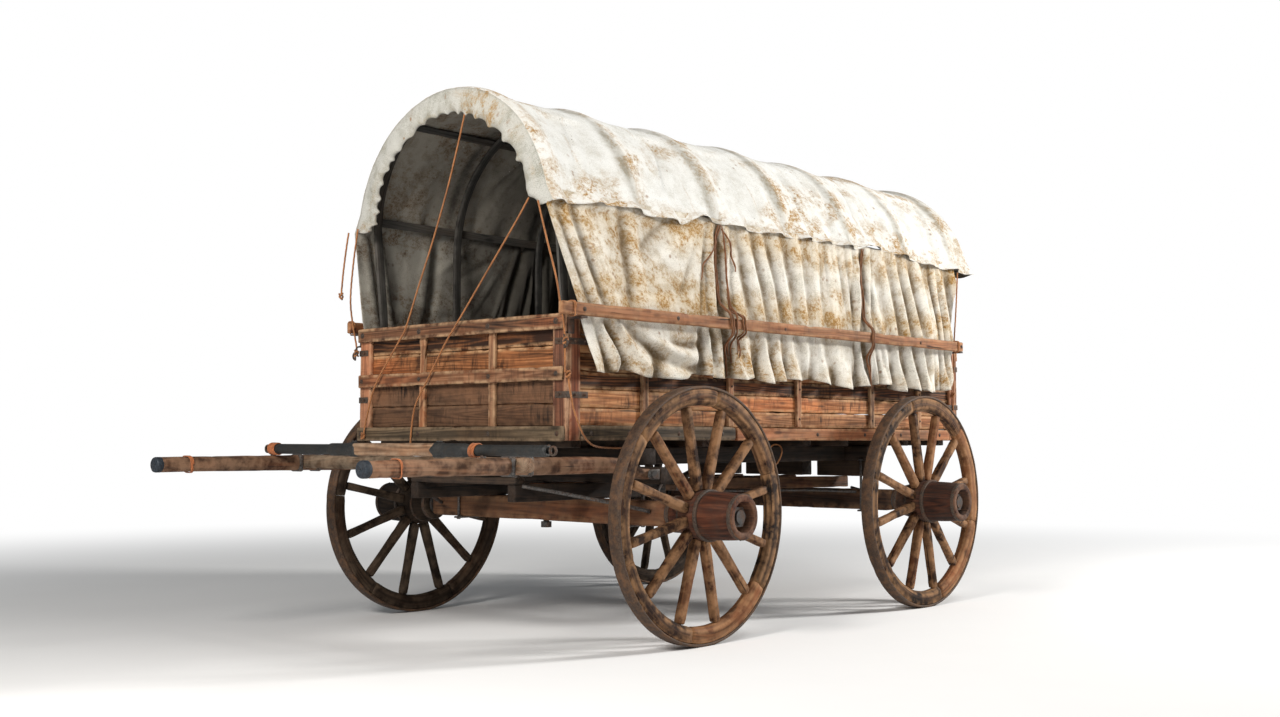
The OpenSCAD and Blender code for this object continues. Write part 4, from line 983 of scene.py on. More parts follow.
def sheet_mesh(name, outer, inner, G, E, mats, body, replaces, R=None):
    """A thin closed cloth from two grids of points of the same size: the outer face has the first material, the inner face the second."""
    nu, nv = outer.shape[:2]
    V = np.concatenate([outer.reshape(-1, 3), inner.reshape(-1, 3)])
    o = nu * nv
    F, M = [], []
    idx = lambda i, j: i * nv + j
    for i in range(nu - 1):
        for j in range(nv - 1):
            a, b, c, d = idx(i, j), idx(i + 1, j), idx(i + 1, j + 1), idx(i, j + 1)
            F.append((a, b, c, d))
            F.append((o + d, o + c, o + b, o + a))
            M += [0, len(mats) - 1]
    for i in range(nu - 1):
        for j in (0, nv - 1):
            a, b = idx(i, j), idx(i + 1, j)
            F.append((a, o + a, o + b, b) if j == 0 else (b, o + b, o + a, a))
            M.append(0)
    for j in range(nv - 1):
        for i in (0, nu - 1):
            a, b = idx(i, j), idx(i, j + 1)
            F.append((b, o + b, o + a, a) if i == 0 else (a, o + a, o + b, b))
            M.append(0)
    B = Bag()
    B.add(V, F, np.concatenate([G.reshape(-1, 3)] * 2), 0.0, np.concatenate([E.ravel()] * 2))
    B.M = M
    if R is not None:
        B.R = [np.concatenate([R.ravel()] * 2)]
    return B.make(name, mats, body, replaces)


def grid_normals(P):
    du, dv = np.gradient(P, axis=0), np.gradient(P, axis=1)
    n = np.cross(du, dv)
    return n / np.maximum(np.linalg.norm(n, axis=-1), 1e-9)[..., None]


def cloth_area(P):
    a = np.linalg.norm(np.cross(P[1:, :-1] - P[:-1, :-1], P[:-1, 1:] - P[:-1, :-1]), axis=-1)
    return float(a.sum())


nu, nv = 240, 150
us = np.linspace(RX0 + 0.010, RX1 - 0.010, nu)
vs = np.linspace(0, SL, nv)
X, S = np.meshgrid(us, vs, indexing="ij")
P, NN = roof_point(X, S)
# painted shade: the sag between the bows and a band in front of each bow darken the roof cloth
R = np.clip(roof_point.depth * 0.22 + roof_point.front * 0.95, 0, 1)
E = roof_point.ridge * 0.55
# the ends roll over towards the opening
for xe, sg in ((RX1, 1), (RX0, -1)):
    t = smooth(0.055, 0.0, np.abs(xe - X))
    P[..., 1] -= NN[..., 1] * 0.010 * t**1.5
    P[..., 2] -= NN[..., 2] * 0.010 * t**1.5
gn = grid_normals(P)
gn *= np.where((gn * NN).sum(-1) > 0, 1, -1)[..., None]
th = 0.0016
G = np.stack([X, S, 0 * X], -1)
E = np.maximum(E, np.clip(1 - np.minimum(S, SL - S) / 0.12, 0, 1) * 0.6)
# the roof's inner face takes the cloth with painted shade
roof = sheet_mesh("roof_cloth", P + gn * th * 0.5, P - gn * th * 0.5, G, E, [M_ROOF, M_INNER_PAINTED_SHADE], "wagon", ("canvas_roof",), R)
roof_area = cloth_area(P)

# gathered lips round the two ends: the cloth turns inwards over the end bow and is drawn up on a cord
for nm, xe, sg in (("front", RX1, 1), ("rear", RX0, -1)):
    nu2, nv2 = 420, 15
    sl = np.linspace(0.004, SL - 0.004, nu2)
    q = np.linspace(0, 1, nv2)
    Sg, Q = np.meshgrid(sl, q, indexing="ij")
    base, bn = roof_point(np.full_like(Sg, xe - sg * 0.012), Sg)
    sm = np.minimum(Sg, SL - Sg)
    endf = smooth(0.0, 0.20, sm)
    depth = (0.112 + 0.016 * np.exp(-((Sg / 0.30) ** 2))) * (1 + 0.16 * vn(np.stack([Sg * 4.3, 0 * Sg, 0 * Sg + sg], -1)))
    near_ = smooth(1.15, 0.55, Sg)
    wob = vn(np.stack([Sg * 4, 0 * Sg, 0 * Sg + 2 + sg], -1)) + 0.4 * vn(np.stack([Sg * 9, 0 * Sg, 0 * Sg + 14 + sg], -1))
    run = np.cumsum(1 / (0.088 + 0.050 * smooth(1.15, 0.55, sl))) * (sl[1] - sl[0])
    ph = 2 * PI * run[:, None] + 3.6 * wob
    size = np.clip(0.75 + 0.9 * vn(np.stack([Sg * 2.7, 0 * Sg, 0 * Sg + 8 + sg], -1)), 0.35, 1.2)
    puck = 0.5 + 0.5 * np.cos(ph + 0.5 * np.sin(ph)) + 0.16 * vn(np.stack([Sg * 31, 0 * Sg, 0 * Sg + 3 + sg], -1))
    inw = depth * np.sin(Q * PI / 2 * 0.98) + Q**2 * 0.023 * (puck - 0.5) * size
    lump = vn(np.stack([Sg * 13, Q * 2.2, 0 * Sg + 5 + sg], -1))
    fwd = 0.017 * np.sin(Q * PI * 0.72) - 0.020 * Q**2.2 + smooth(0.15, 0.9, Q) * np.interp(Sg, [0, 0.8, 1.3, SL], [0.010, 0.008, -0.016, -0.026]) * (1.0 if sg > 0 else 0.3) * (puck - 0.6) * size + 0.010 * lump * np.sin(PI * Q)
    fwd = np.minimum(fwd, 0.013 + 0.006 * np.tanh((fwd - 0.013) / 0.006))
    Pl = base - bn * (inw + 0.009)[..., None]
    # below the half round the lip hangs level, a little curled
    low_ = smooth(0.11, 0.0, sm)
    Pl[..., 2] += low_ * (0.30 * inw - 0.012 * np.sin(Q * PI))
    Pl[..., 0] += sg * fwd
    lip_n = grid_normals(Pl)
    if (lip_n[nu2 // 2, nv2 // 2, 0] * sg) < 0:
        lip_n = -lip_n
    Gl = np.stack([xe + sg * (0.02 + Q * 0.115), Sg, 0 * Sg], -1)
    El = 0.25 * Q**2
    # painted shade in the hollows between the puckers
    Rl = np.clip(1.05 - puck, 0, 1) * smooth(0.3, 0.95, Q) * 0.9 * size
    sheet_mesh(nm + "_lip", Pl + lip_n * 0.0009, Pl - lip_n * 0.0009, Gl, El, [M_LIP, M_INNER_PAINTED_SHADE], "wagon", (), Rl)

# ------------------------------------------------------------------ curtains
TIE = (0.200, -1.050)


def tie_x(tx, z):
    """The middle of the gathering at a tie, at height z."""
    zz = [1.17, 1.35, 1.50, 1.73, 1.93]
    xx = [0.172, 0.204, 0.233, 0.205, 0.150] if tx > 0 else [-1.027, -1.000, -1.008, -1.065, -1.120]
    return np.interp(z, zz, xx)


def curtain_grid(s, nv=72):
    """Rows run from the rear edge to the front edge, columns from the top down."""
    r0 = 3.1 if s > 0 else 8.7
    top, hem = 1.945, 1.172
    u = np.concatenate([np.linspace(0, 0.655, 345)[:-1], np.linspace(0.655, 1, 126)])
    v = np.linspace(0, 1, nv)
    U, Vv = np.meshgrid(u, v, indexing="ij")
    xm = -1.9 + 3.05 * U
    hemz = 0.016 * vn(np.stack([U * 17, 0 * U, 0 * U + r0], -1)) + 0.010 * vn(np.stack([U * 41, 0 * U, 0 * U + r0 + 7], -1))
    # the hem stands higher in the front bay's swag, lower under the ties
    hemz += 0.020 * np.exp(-(((xm - 0.92) / 0.13) ** 2)) - 0.010
    Z = top - (top - hem - 0.016) * Vv + hemz * Vv**3
    xf, xr = 1.343 - 0.270 * (1.945 - Z), -2.155 + 0.384 * (1.945 - Z)
    xf = np.minimum(xf, 1.300 + 0.034 * smooth(1.90, 1.86, Z))
    X = xr + (xf - xr) * U
    back = smooth(0.26, 0.14, X)
    front = 1 - back
    # middle of the cloth and how far it may stand to either side
    Yc = np.interp(-Z, [-1.95, -1.88, -1.80, -1.62, -1.46, -1.39, -1.30, -1.17], [0.6385, 0.6480, 0.662, 0.695, 0.7250, 0.7250, 0.735, 0.742])
    A = np.interp(-Z, [-1.95, -1.90, -1.82, -1.62, -1.48, -1.44, -1.39, -1.30, -1.17], [0.15, 0.45, 0.95, 1.15, 0.95, 0.80, 0.80, 1.20, 1.55])
    # pleats: they hang nearly straight but wander, split and fade
    wander = 0.045 * vn(np.stack([X * 1.9, Z * 1.6, 0 * X + r0], -1)) + 0.020 * vn(np.stack([X * 4.5, Z * 3.1, 0 * X + 4 + r0], -1))
    near = sum(np.exp(-(((X - tx) / 0.22) ** 2)) for tx in TIE)
    q = X + wander
    pa = 2 * PI * q / 0.158 + 3.4 * vn(np.stack([q * 2.9, Z * 0.8, 0 * X + r0 + 1], -1))
    pb = 2 * PI * q / 0.074 + 3.0 * vn(np.stack([q * 5.0, Z * 1.2, 0 * X + r0 + 2], -1))
    fa = 1 - 2 * np.abs(np.sin(pa / 2)) ** 1.25
    fb = 2 * np.abs(np.cos(pb / 2)) ** 0.8 - 1
    ma = np.clip(0.75 + 0.75 * vn(np.stack([X * 2.7, Z * 0.8, 0 * X + r0 + 6], -1)), 0.25, 1.1)
    mb = np.clip(0.45 + 1.1 * vn(np.stack([X * 3.7, Z * 0.9, 0 * X + r0 + 9], -1)) + 0.35 * near, 0.05, 1.1)
    fold = back * (0.0260 * fa * ma + 0.0120 * fb * mb)
    # front bay: close folds down the edge, one long soft ridge, then cloth drawn tight towards the tie
    d1 = (xf - X) - 0.06 * (1.9 - Z)
    fr = -0.013 * np.exp(-(((d1 - 0.058) / 0.022) ** 2)) + 0.014 * np.exp(-(((d1 - 0.098) / 0.018) ** 2)) - 0.016 * np.exp(-(((d1 - 0.150) / 0.024) ** 2)) + 0.010 * np.exp(-(((d1 - 0.205) / 0.05) ** 2))
    fold += front * fr
    rx = 0.800 + 0.055 * (1.72 - Z) + 0.012 * np.sin(Z * 7)
    fold += front * (0.016 * np.exp(-(((X - rx) / 0.034) ** 2)) - 0.015 * np.exp(-(((X - rx - 0.062) / 0.030) ** 2))) * smooth(1.40, 1.47, Z)
    for kx, kz, ang, amp, wd, ln in ((0.62, 1.84, 0.62, -0.012, 0.020, 0.20), (0.50, 1.78, 0.50, 0.010, 0.022, 0.22), (0.44, 1.66, 0.98, -0.008, 0.016, 0.16), (0.34, 1.62, 1.30, -0.012, 0.013, 0.20),
                                     (0.60, 1.56, 0.10, -0.006, 0.030, 0.22), (1.02, 1.62, 1.42, 0.005, 0.035, 0.20), (0.72, 1.50, 0.25, 0.005, 0.028, 0.20), (0.99, 1.52, 0.15, -0.005, 0.025, 0.15)):
        a_ = (X - kx) * math.cos(ang) - (Z - kz) * math.sin(ang)
        b_ = (X - kx) * math.sin(ang) + (Z - kz) * math.cos(ang)
        fold += front * amp * np.exp(-((b_ / wd) ** 2) - (a_ / ln) ** 2)
    fold += front * 0.006 * vn(np.stack([X * 4.5, Z * 3.4, 0 * X + r0 + 3], -1))
    # below the rail in the front bay: swags that run from the front end of the rail down and back to the hem, and upright folds near the tie
    lowm = smooth(1.43, 1.38, Z)
    for (xa, za), (xb, zb), amp, wd in (((1.10, 1.40), (0.97, 1.19), 0.024, 0.020), ((1.06, 1.41), (0.90, 1.18), -0.024, 0.020), ((1.00, 1.42), (0.80, 1.20), 0.022, 0.026),
                                        ((0.93, 1.40), (0.58, 1.225), -0.018, 0.030), ((0.84, 1.37), (0.46, 1.265), 0.020, 0.026), ((0.62, 1.33), (0.42, 1.325), -0.018, 0.020), ((0.60, 1.235), (0.44, 1.215), -0.016, 0.020)):
        tx_, tz_ = xb - xa, zb - za
        ln_ = math.hypot(tx_, tz_)
        al = ((X - xa) * tx_ + (Z - za) * tz_) / ln_
        # each sags below the straight line between its ends
        ac = ((X - xa) * -tz_ + (Z - za) * tx_) / ln_ * (1 if tx_ > 0 else -1) + 0.22 * ln_ * (np.clip(al / ln_, 0, 1) * (1 - np.clip(al / ln_, 0, 1))) * 4 * 0.25
        fold += front * lowm * amp * np.exp(-((ac / wd) ** 2)) * smooth(-0.05, 0.05, al) * smooth(ln_ + 0.06, ln_ - 0.04, al)
    pc = 2 * PI * X / 0.092 + 2.0 * vn(np.stack([X * 5, Z * 2, 0 * X + r0 + 12], -1))
    fold += front * smooth(0.47, 0.38, X) * lowm * 0.020 * (1 - 2 * np.abs(np.sin(pc / 2)) ** 1.1)
    # gathered in at the ties
    for tx in TIE:
        dx = X - tie_x(tx, Z)
        fold += -0.024 * np.exp(-((dx / 0.026) ** 2)) + 0.014 * (np.exp(-(((dx - 0.052) / 0.020) ** 2)) + np.exp(-(((dx + 0.052) / 0.020) ** 2)))
        fold += -0.010 * (np.exp(-(((dx - 0.092) / 0.016) ** 2)) + np.exp(-(((dx + 0.092) / 0.016) ** 2)))
    # the hem flares and waves
    fl = smooth(1.34, 1.17, Z)
    ph = 2 * PI * q / np.where(X > 0.42, 0.32, 0.190) + 3.2 * vn(np.stack([X * 3.3, 0 * X, 0 * X + r0 + 5], -1))
    fold += fl * (0.020 * np.cos(ph) + 0.004)
    Y = Yc + A * fold
    # kept off the bows and boards inside, and behind the rail outside
    railz = smooth(1.340, 1.392, Z) * smooth(1.515, 1.464, Z)
    hi = 0.7460 * railz + (1 - railz) * np.interp(-Z, [-1.95, -1.88, -1.80, -1.50, -1.17], [0.6415, 0.6600, 0.700, 0.765, 0.800])
    lo = np.interp(-Z, [-1.95, -1.80, -1.62, -1.46, -1.42, -1.17], [0.6355, 0.6385, 0.6600, 0.6950, 0.7025, 0.7035])
    soft = 0.004
    Y = hi - soft * np.logaddexp(0, (hi - Y) / soft) if False else Y
    Y = np.where(Y > hi - soft, hi - soft + soft * np.tanh((Y - hi + soft) / soft), Y)
    Y = np.where(Y < lo + soft, lo + soft - soft * np.tanh((lo + soft - Y) / soft), Y)
    Y += 0.0014 * fbm(np.stack([X * 16, Z * 13, 0 * X + r0], -1), 3)
    # depth, how deep the cloth lies in a fold or laps at a tie, becomes painted shade and grime in the cloth's colour
    lap = sum(np.exp(-(((X - tie_x(tx, Z)) / 0.05) ** 2)) for tx in TIE)
    depth = np.clip((Yc + 0.006 - Y) / 0.022, 0, 1) ** 1.3 * (0.8 + 0.2 * lap) + 0.25 * lap
    # gathers also move the cloth sideways
    X = X + back * 0.007 * np.sin(pa) * A * ma + 0.012 * fl * np.sin(ph + 0.6)
    Z = Z - fl * 0.012 * (0.5 + 0.5 * np.cos(ph)) * Vv**4
    return X, Y, Z, U, Vv, depth


CG = {}
for s, side in ((1, "left"), (-1, "right")):
    X, Y, Z, U, Vv, depth = curtain_grid(s)
    P = np.stack([X, s * Y, Z], -1)
    CG[s] = P
    gn = grid_normals(P)
    gn *= np.where(gn[..., 1:2] * s > 0, 1, -1)
    L1 = np.concatenate([np.zeros((1, P.shape[1])), np.cumsum(np.linalg.norm(np.diff(P, axis=0), axis=-1), axis=0)])
    Lm = np.repeat(L1.mean(1)[:, None], P.shape[1], 1)
    G = np.stack([Lm + (0 if s > 0 else 9), 4.0 + (1.945 - Z), 0 * X], -1)
    # stains under the roof's hem, along the rail and on the hem
    E = np.exp(-(((Z - 1.85) / 0.08) ** 2)) * 0.8 + np.exp(-(((Z - 1.52) / 0.07) ** 2)) * 0.9 + np.exp(-(((Z - 1.20) / 0.03) ** 2)) * 0.25
    E += 0.55 * np.exp(-(((Z - 1.58) / 0.085) ** 2)) * smooth(0.22, 0.40, X) * smooth(1.10, 0.95, X)
    # the deep folds also turn yellow and ochre: painted shade
    E = np.clip(E + 0.5 * smooth(0.45, 0.95, depth), 0, 1)
    depth = np.clip(depth * 1.3, 0, 1)
    ob = sheet_mesh(side + "_drape", P + gn * 0.0008, P - gn * 0.0008, G, E, [M_CURT, M_INNER_C_PAINTED_SHADE], "wagon", (side + "_curtain",), depth)


def on_cloth(s, x, z, off=0.006):
    """A point just outside the curtain, or outside the rail where that is further out."""
    P = CG[s].reshape(-1, 3)
    i = np.argmin((P[:, 0] - x) ** 2 + (P[:, 2] - z) ** 2)
    y = abs(P[i, 1])
    if 1.392 < z < 1.464:
        y = max(y, 0.7795)
    return (x, s * (y + off), z)


# ties over the curtains: a strap from under the roof's hem, round the rail and down to the hem, with loose strands beside it
B = Bag()
for s in (1, -1):
    def strand(pts, r, tw=0.3, strands=2, lay=0.05, dx=0.0):
        xs = np.array(pts, float)
        t = np.concatenate([[0], np.cumsum(np.linalg.norm(np.diff(xs, axis=0), axis=1))])
        k_ = 64
        tt = np.linspace(0, t[-1], k_)
        X_, Z_ = np.interp(tt, t, xs[:, 0]) + dx, np.interp(tt, t, xs[:, 1])
        for _ in range(4):
            X_[1:-1] = 0.25 * X_[:-2] + 0.5 * X_[1:-1] + 0.25 * X_[2:]
        Y_ = np.array([abs(on_cloth(s, a, b, r + 0.001)[1]) for a, b in zip(X_, Z_)])
        hi_ = np.array([Y_[max(0, i_ - 3) : i_ + 4].max() for i_ in range(k_)])
        for _ in range(8):
            hi_[1:-1] = 0.25 * hi_[:-2] + 0.5 * hi_[1:-1] + 0.25 * hi_[2:]
        P = spline(np.stack([X_, s * np.maximum(hi_, Y_ - 0.004), Z_], 1), 0.006)
        n_ = len(P)
        rr = r * (1 - 0.45 * (np.abs(np.linspace(-1, 1, n_)) ** 6))
        tube(B, P, rr, n=8, twist=tw, strands=strands, lay=lay)
    main = [(0.153, 1.915), (0.182, 1.854), (0.207, 1.732), (0.218, 1.628), (0.233, 1.509), (0.235, 1.430), (0.208, 1.355), (0.184, 1.280), (0.174, 1.185)]
    strand(main, 0.0065, dx=0.006)
    strand(main[:-1], 0.0065, dx=-0.008, lay=0.07)
    strand([(0.140, 1.912), (0.160, 1.782), (0.170, 1.632), (0.180, 1.513), (0.200, 1.421), (0.174, 1.338), (0.166, 1.250)], 0.0055)
    strand([(0.146, 1.896), (0.111, 1.787), (0.090, 1.715), (0.096, 1.690)], 0.0050)
    strand([(0.170, 1.880), (0.256, 1.772), (0.318, 1.700), (0.354, 1.630)], 0.0045)
    strand([(0.178, 1.602), (0.150, 1.515), (0.130, 1.439), (0.118, 1.355), (0.146, 1.272)], 0.0055)
    strand([(0.186, 1.560), (0.162, 1.500), (0.146, 1.435), (0.134, 1.360), (0.150, 1.290)], 0.0045)
    two = [(-1.120, 1.930), (-1.094, 1.842), (-1.065, 1.737), (-1.037, 1.601), (-1.008, 1.498), (-0.992, 1.425), (-1.010, 1.340), (-1.021, 1.290), (-1.027, 1.160)]
    strand(two, 0.0070, dx=0.006)
    strand(two, 0.0060, dx=-0.009, lay=0.07)
B.make("tie_straps", M_STRAP, "wagon")

# ------------------------------------------------------------------ taut ropes
STAYS = [[(1.305, 0.116, 2.340), (1.301, 0.058, 2.180), (1.298, -0.010, 2.005), (1.294, -0.109, 1.788), (1.290, -0.208, 1.594), (1.288, -0.301, 1.406), (1.286, -0.360, 1.335), (1.284, -0.523, 1.149), (1.281, -0.590, 1.003), (1.278, -0.625, 0.899)],
         [(1.303, 0.525, 1.914), (1.301, 0.438, 1.813), (1.297, 0.246, 1.605), (1.291, 0.077, 1.426), (1.288, -0.012, 1.333), (1.286, -0.072, 1.259), (1.284, -0.160, 1.144), (1.281, -0.238, 1.041), (1.278, -0.268, 0.931), (1.277, -0.278, 0.822)]]
LASH = [[(1.333, 0.610, 1.888), (1.324, 0.655, 1.720), (1.308, 0.694, 1.560), (1.290, 0.701, 1.450), (1.266, 0.701, 1.343), (1.261, 0.701, 1.165)],
        [(1.333, -0.610, 1.888), (1.324, -0.655, 1.720), (1.308, -0.694, 1.560), (1.290, -0.701, 1.450), (1.266, -0.701, 1.343), (1.261, -0.701, 1.290)],
        [(-2.095, 0.690, 1.882), (-2.055, 0.699, 1.660), (-2.016, 0.704, 1.440), (-2.004, 0.702, 1.170), (-1.992, 0.701, 0.905)],
        [(-2.095, -0.690, 1.882), (-2.055, -0.699, 1.660), (-2.016, -0.704, 1.440), (-2.004, -0.702, 1.170), (-1.992, -0.701, 0.905)]]
B = Bag()
for p in STAYS:
    tube(B, spline(p, 0.005), ROPE_R, n=10, twist=0.22)
    knot(B, np.array(p[-1]) + [0, 0, 0.004], (0, 0, 1), r=0.008)
B.make("stay_ropes", M_ROPE, "wagon", ("front_stays",))
B = Bag()
for p in LASH:
    tube(B, spline(p, 0.005), ROPE_R, n=10, twist=0.22)
B.make("corner_ropes", M_ROPE, "wagon", ("corner_lashings",))

# ------------------------------------------------------------------ small ironwork, wrappings and bolts
def facing(p, nrm):
    """A transform from a local z axis to the direction nrm at p."""
    q = Vector(nrm).to_track_quat("Z", "Y").to_matrix()
    M = np.array(q)
    return lambda V: V @ M.T + np.asarray(p, float)


def bolt(B, p, nrm, r=0.009, h=0.006, washer=True, square=False):
    T = facing(p, nrm)
    if washer:
        lathe(B, [(0.0002, -0.001), (r * 1.55, -0.001), (r * 1.6, 0.0006), (r * 1.5, 0.0022), (0.0002, 0.0024)], n=18, T=T)
    if square:
        lathe(B, [(0.0002, 0.002), (r * 1.25, 0.002), (r * 1.28, 0.003), (r * 1.25, h), (r * 1.1, h + 0.0015), (0.0002, h + 0.002)], n=4, T=T)
    else:
        lathe(B, [(0.0002, 0.002), (r, 0.002), (r * 0.98, 0.0035), (r * 0.8, 0.002 + h * 0.65), (r * 0.45, 0.002 + h * 0.93), (0.0002, 0.002 + h)], n=16, T=T)


def wrap(B, c, ax, up, w, h, turns, width, r=0.0035, gap=0.0, power=0.55, mat=0, skew=0.0):
    """Rope wound round a bar of w by h, its turns side by side along ax."""
    c, ax, up = (np.asarray(v, float) for v in (c, ax, up))
    sd = np.cross(up, ax)
    t = np.linspace(0, 1, int(turns * 44))
    a = 2 * PI * turns * t
    sp = lambda v: np.sign(v) * np.abs(v) ** power
    x, y = (w / 2 + r + gap) * sp(np.cos(a)), (h / 2 + r + gap) * sp(np.sin(a))
    al = (t - 0.5) * width + skew * np.sin(a)
    P = c + al[:, None] * ax + x[:, None] * sd + y[:, None] * up
    tube(B, P, r, n=7, twist=0.2, mat=mat, lay=0.02)


# box: bolts through the rails and stiles, corner straps, hooks
B = Bag()
for fx, x0 in ((1, BX1), (-1, BX0)):
    for z, hl in ((1.383, 0.655), (1.163, 0.655), (0.912, 0.655)):
        for y in (-hl, -0.235, 0.235, hl):
            bolt(B, (x0 + fx * 0.0400, y + 0.004 * math.sin(7 * z + 3 * y), z), (fx, 0, 0), r=0.0085 if z > 1.2 else 0.007)
    for sgn in (1, -1):
        # angle straps round the corner posts
        for z in (1.300, 1.075):
            block(B, (min(x0 + fx * 0.0195, x0 + fx * 0.0232), min(sgn * 0.630, sgn * 0.6965), z - 0.014), (max(x0 + fx * 0.0195, x0 + fx * 0.0232), max(sgn * 0.630, sgn * 0.6965), z + 0.014), e=0.001, side=0.012, seg=0.02, chips=0.15, rough=0.5)
            block(B, (min(x0 - fx * 0.110, x0 + fx * 0.0215), min(sgn * 0.6940, sgn * 0.6970), z - 0.014), (max(x0 - fx * 0.110, x0 + fx * 0.0215), max(sgn * 0.6940, sgn * 0.6970), z + 0.014), ax=0, e=0.001, side=0.012, seg=0.02, chips=0.15, rough=0.5)
            bolt(B, (x0 + fx * 0.0232, sgn * 0.655, z), (fx, 0, 0), r=0.006, washer=False)
            bolt(B, (x0 - fx * 0.030, sgn * 0.6970, z), (0, sgn, 0), r=0.006, washer=False)
            bolt(B, (x0 - fx * 0.088, sgn * 0.6970, z), (0, sgn, 0), r=0.006, washer=False)
for sgn in (1, -1):
    for x in (0.742, 0.122, -0.441, -1.130, -1.630):
        for z in (0.990, 1.140, 1.300, 1.385):
            bolt(B, (x + 0.003 * math.sin(9 * z + x), sgn * 0.6935, z), (0, sgn, 0), r=0.0055, h=0.004, washer=False)
    for x in (1.10, 0.86, 0.52, 0.20):
        bolt(B, (x, sgn * 0.699, 0.914), (0, sgn, 0), r=0.0065, h=0.004)
    for x in (-0.10, -0.60, -1.05, -1.42, -1.85):
        bolt(B, (x, sgn * 0.694, 0.912), (0, sgn, 0), r=0.0065, h=0.004)
    for x in (1.225, -1.968, 0.62, -0.20, -1.50):
        bolt(B, (x, sgn * 0.7790, 1.428), (0, sgn, 0), r=0.0065, h=0.004)
# hooks by the upper rail at the front corners
for sgn in (1, -1):
    a = np.linspace(0, 1.45 * PI, 22)
    P = np.stack([1.268 + 0 * a, sgn * (0.704 + 0.017 * np.sin(a)), 1.288 - 0.017 * np.cos(a) + 0.0], 1)
    P = np.vstack([[(1.2445, sgn * 0.690, 1.335), (1.262, sgn * 0.697, 1.330), (1.268, sgn * 0.703, 1.310)], P])
    tube(B, spline(P, 0.004), 0.0045, n=8)
B.make("box_irons", M_RUST, "wagon")

# brace rods, clip plates and clips under the wagon
B = Bag()
for sgn in (1, -1):
    tube(B, spline([(RX + 0.052, sgn * 0.560, 0.600), (RX + 0.25, sgn * 0.40, 0.612), (RX + 0.60, sgn * 0.14, 0.612), (RX + 0.78, sgn * 0.045, 0.618)], 0.02), 0.008, n=8)
    tube(B, spline([(RX - 0.052, sgn * 0.560, 0.600), (RX - 0.09, sgn * 0.50, 0.606), (RX - 0.118, sgn * 0.42, 0.618)], 0.02), 0.008, n=8)
    for x in (RX - 0.064, RX + 0.064):
        tube(B, [(x, sgn * 0.600, 0.50), (x, sgn * 0.600, 0.56), (x, sgn * 0.600, 0.70), (x, sgn * 0.600, 0.7745)], 0.007, n=8)
        bolt(B, (x, sgn * 0.600, 0.772), (0, 0, 1), r=0.011, h=0.008, square=True)
    block(B, (RX - 0.078, min(sgn * 0.582, sgn * 0.618), 0.495), (RX + 0.078, max(sgn * 0.582, sgn * 0.618), 0.5045), ax=0, e=0.002, side=0.02, seg=0.03, chips=0.1, rough=0.4)
for x in (RX + 0.30, RX + 0.95, 0.20):
    block(B, (x - 0.016, -0.0405, 0.6195), (x + 0.016, 0.0405, 0.6845), ax=1, e=0.002, side=0.02, chips=0.1, rough=0.4)
B.make("gear_irons", M_IRON, "wagon")

B = Bag()
for sgn in (1, -1):
    # stays from the axle's ends to the hounds' front bar
    tube(B, spline([(FX + 0.054, sgn * 0.700, 0.570), (FX + 0.20, sgn * 0.60, 0.610), (FX + 0.40, sgn * 0.43, 0.662), (FX + 0.500, sgn * 0.352, 0.684)], 0.02), 0.009, n=8)
    tube(B, spline([(FX - 0.054, sgn * 0.640, 0.575), (FX - 0.20, sgn * 0.52, 0.610), (FX - 0.36, sgn * 0.40, 0.655), (FX - 0.440, sgn * 0.352, 0.680)], 0.02), 0.009, n=8)
    for x in (FX - 0.060, FX + 0.060):
        tube(B, [(x, sgn * 0.560, 0.50), (x, sgn * 0.560, 0.56), (x, sgn * 0.560, 0.66), (x, sgn * 0.560, 0.690)], 0.007, n=8)
        bolt(B, (x, sgn * 0.560, 0.500), (0, 0, -1), r=0.010, h=0.008, square=True)
    block(B, (FX - 0.074, min(sgn * 0.540, sgn * 0.580), 0.4955), (FX + 0.074, max(sgn * 0.540, sgn * 0.580), 0.5045), ax=0, e=0.002, side=0.02, seg=0.03, chips=0.1, rough=0.4)
    for x in (FX - 0.440, FX + 0.510):
        bolt(B, (x, sgn * 0.326, 0.7215), (0, 0, 1), r=0.010, h=0.008, square=True)
B.make("fore_irons", M_IRON, "fore_carriage")

# sand board: a hewn beam with its iron ears
B = Bag()
block(B, (FX - 0.055, -0.763, 0.6905), (FX + 0.055, 0.763, 0.7645), ax=1, e=0.007, side=0.02, seg=0.03, chips=1.2)
B.make("sand_board_beam", M_GEAR_PAINTED_SHADE, "fore_carriage", ("sand_board",))
B = Bag()
for sgn in (1, -1):
    for k in (-1, 1):
        y = sgn * 0.707 + k * 0.046
        T = lambda V, y=y: np.stack([V[:, 0] + FX + 0.097, V[:, 2] + y, V[:, 1] + 0.735], 1)
        lathe(B, [(0.0116, -0.0078), (0.0222, -0.0078), (0.0228, -0.006), (0.0228, 0.006), (0.0222, 0.0078), (0.0116, 0.0078)], n=28, T=T, rough=0.0003)
        block(B, (FX + 0.0552, y - 0.0076, 0.7125), (FX + 0.080, y + 0.0076, 0.7575), ax=0, e=0.002, side=0.02, seg=0.01, chips=0.1, rough=0.3)
B.make("sand_board_ears", M_IRON, "fore_carriage")

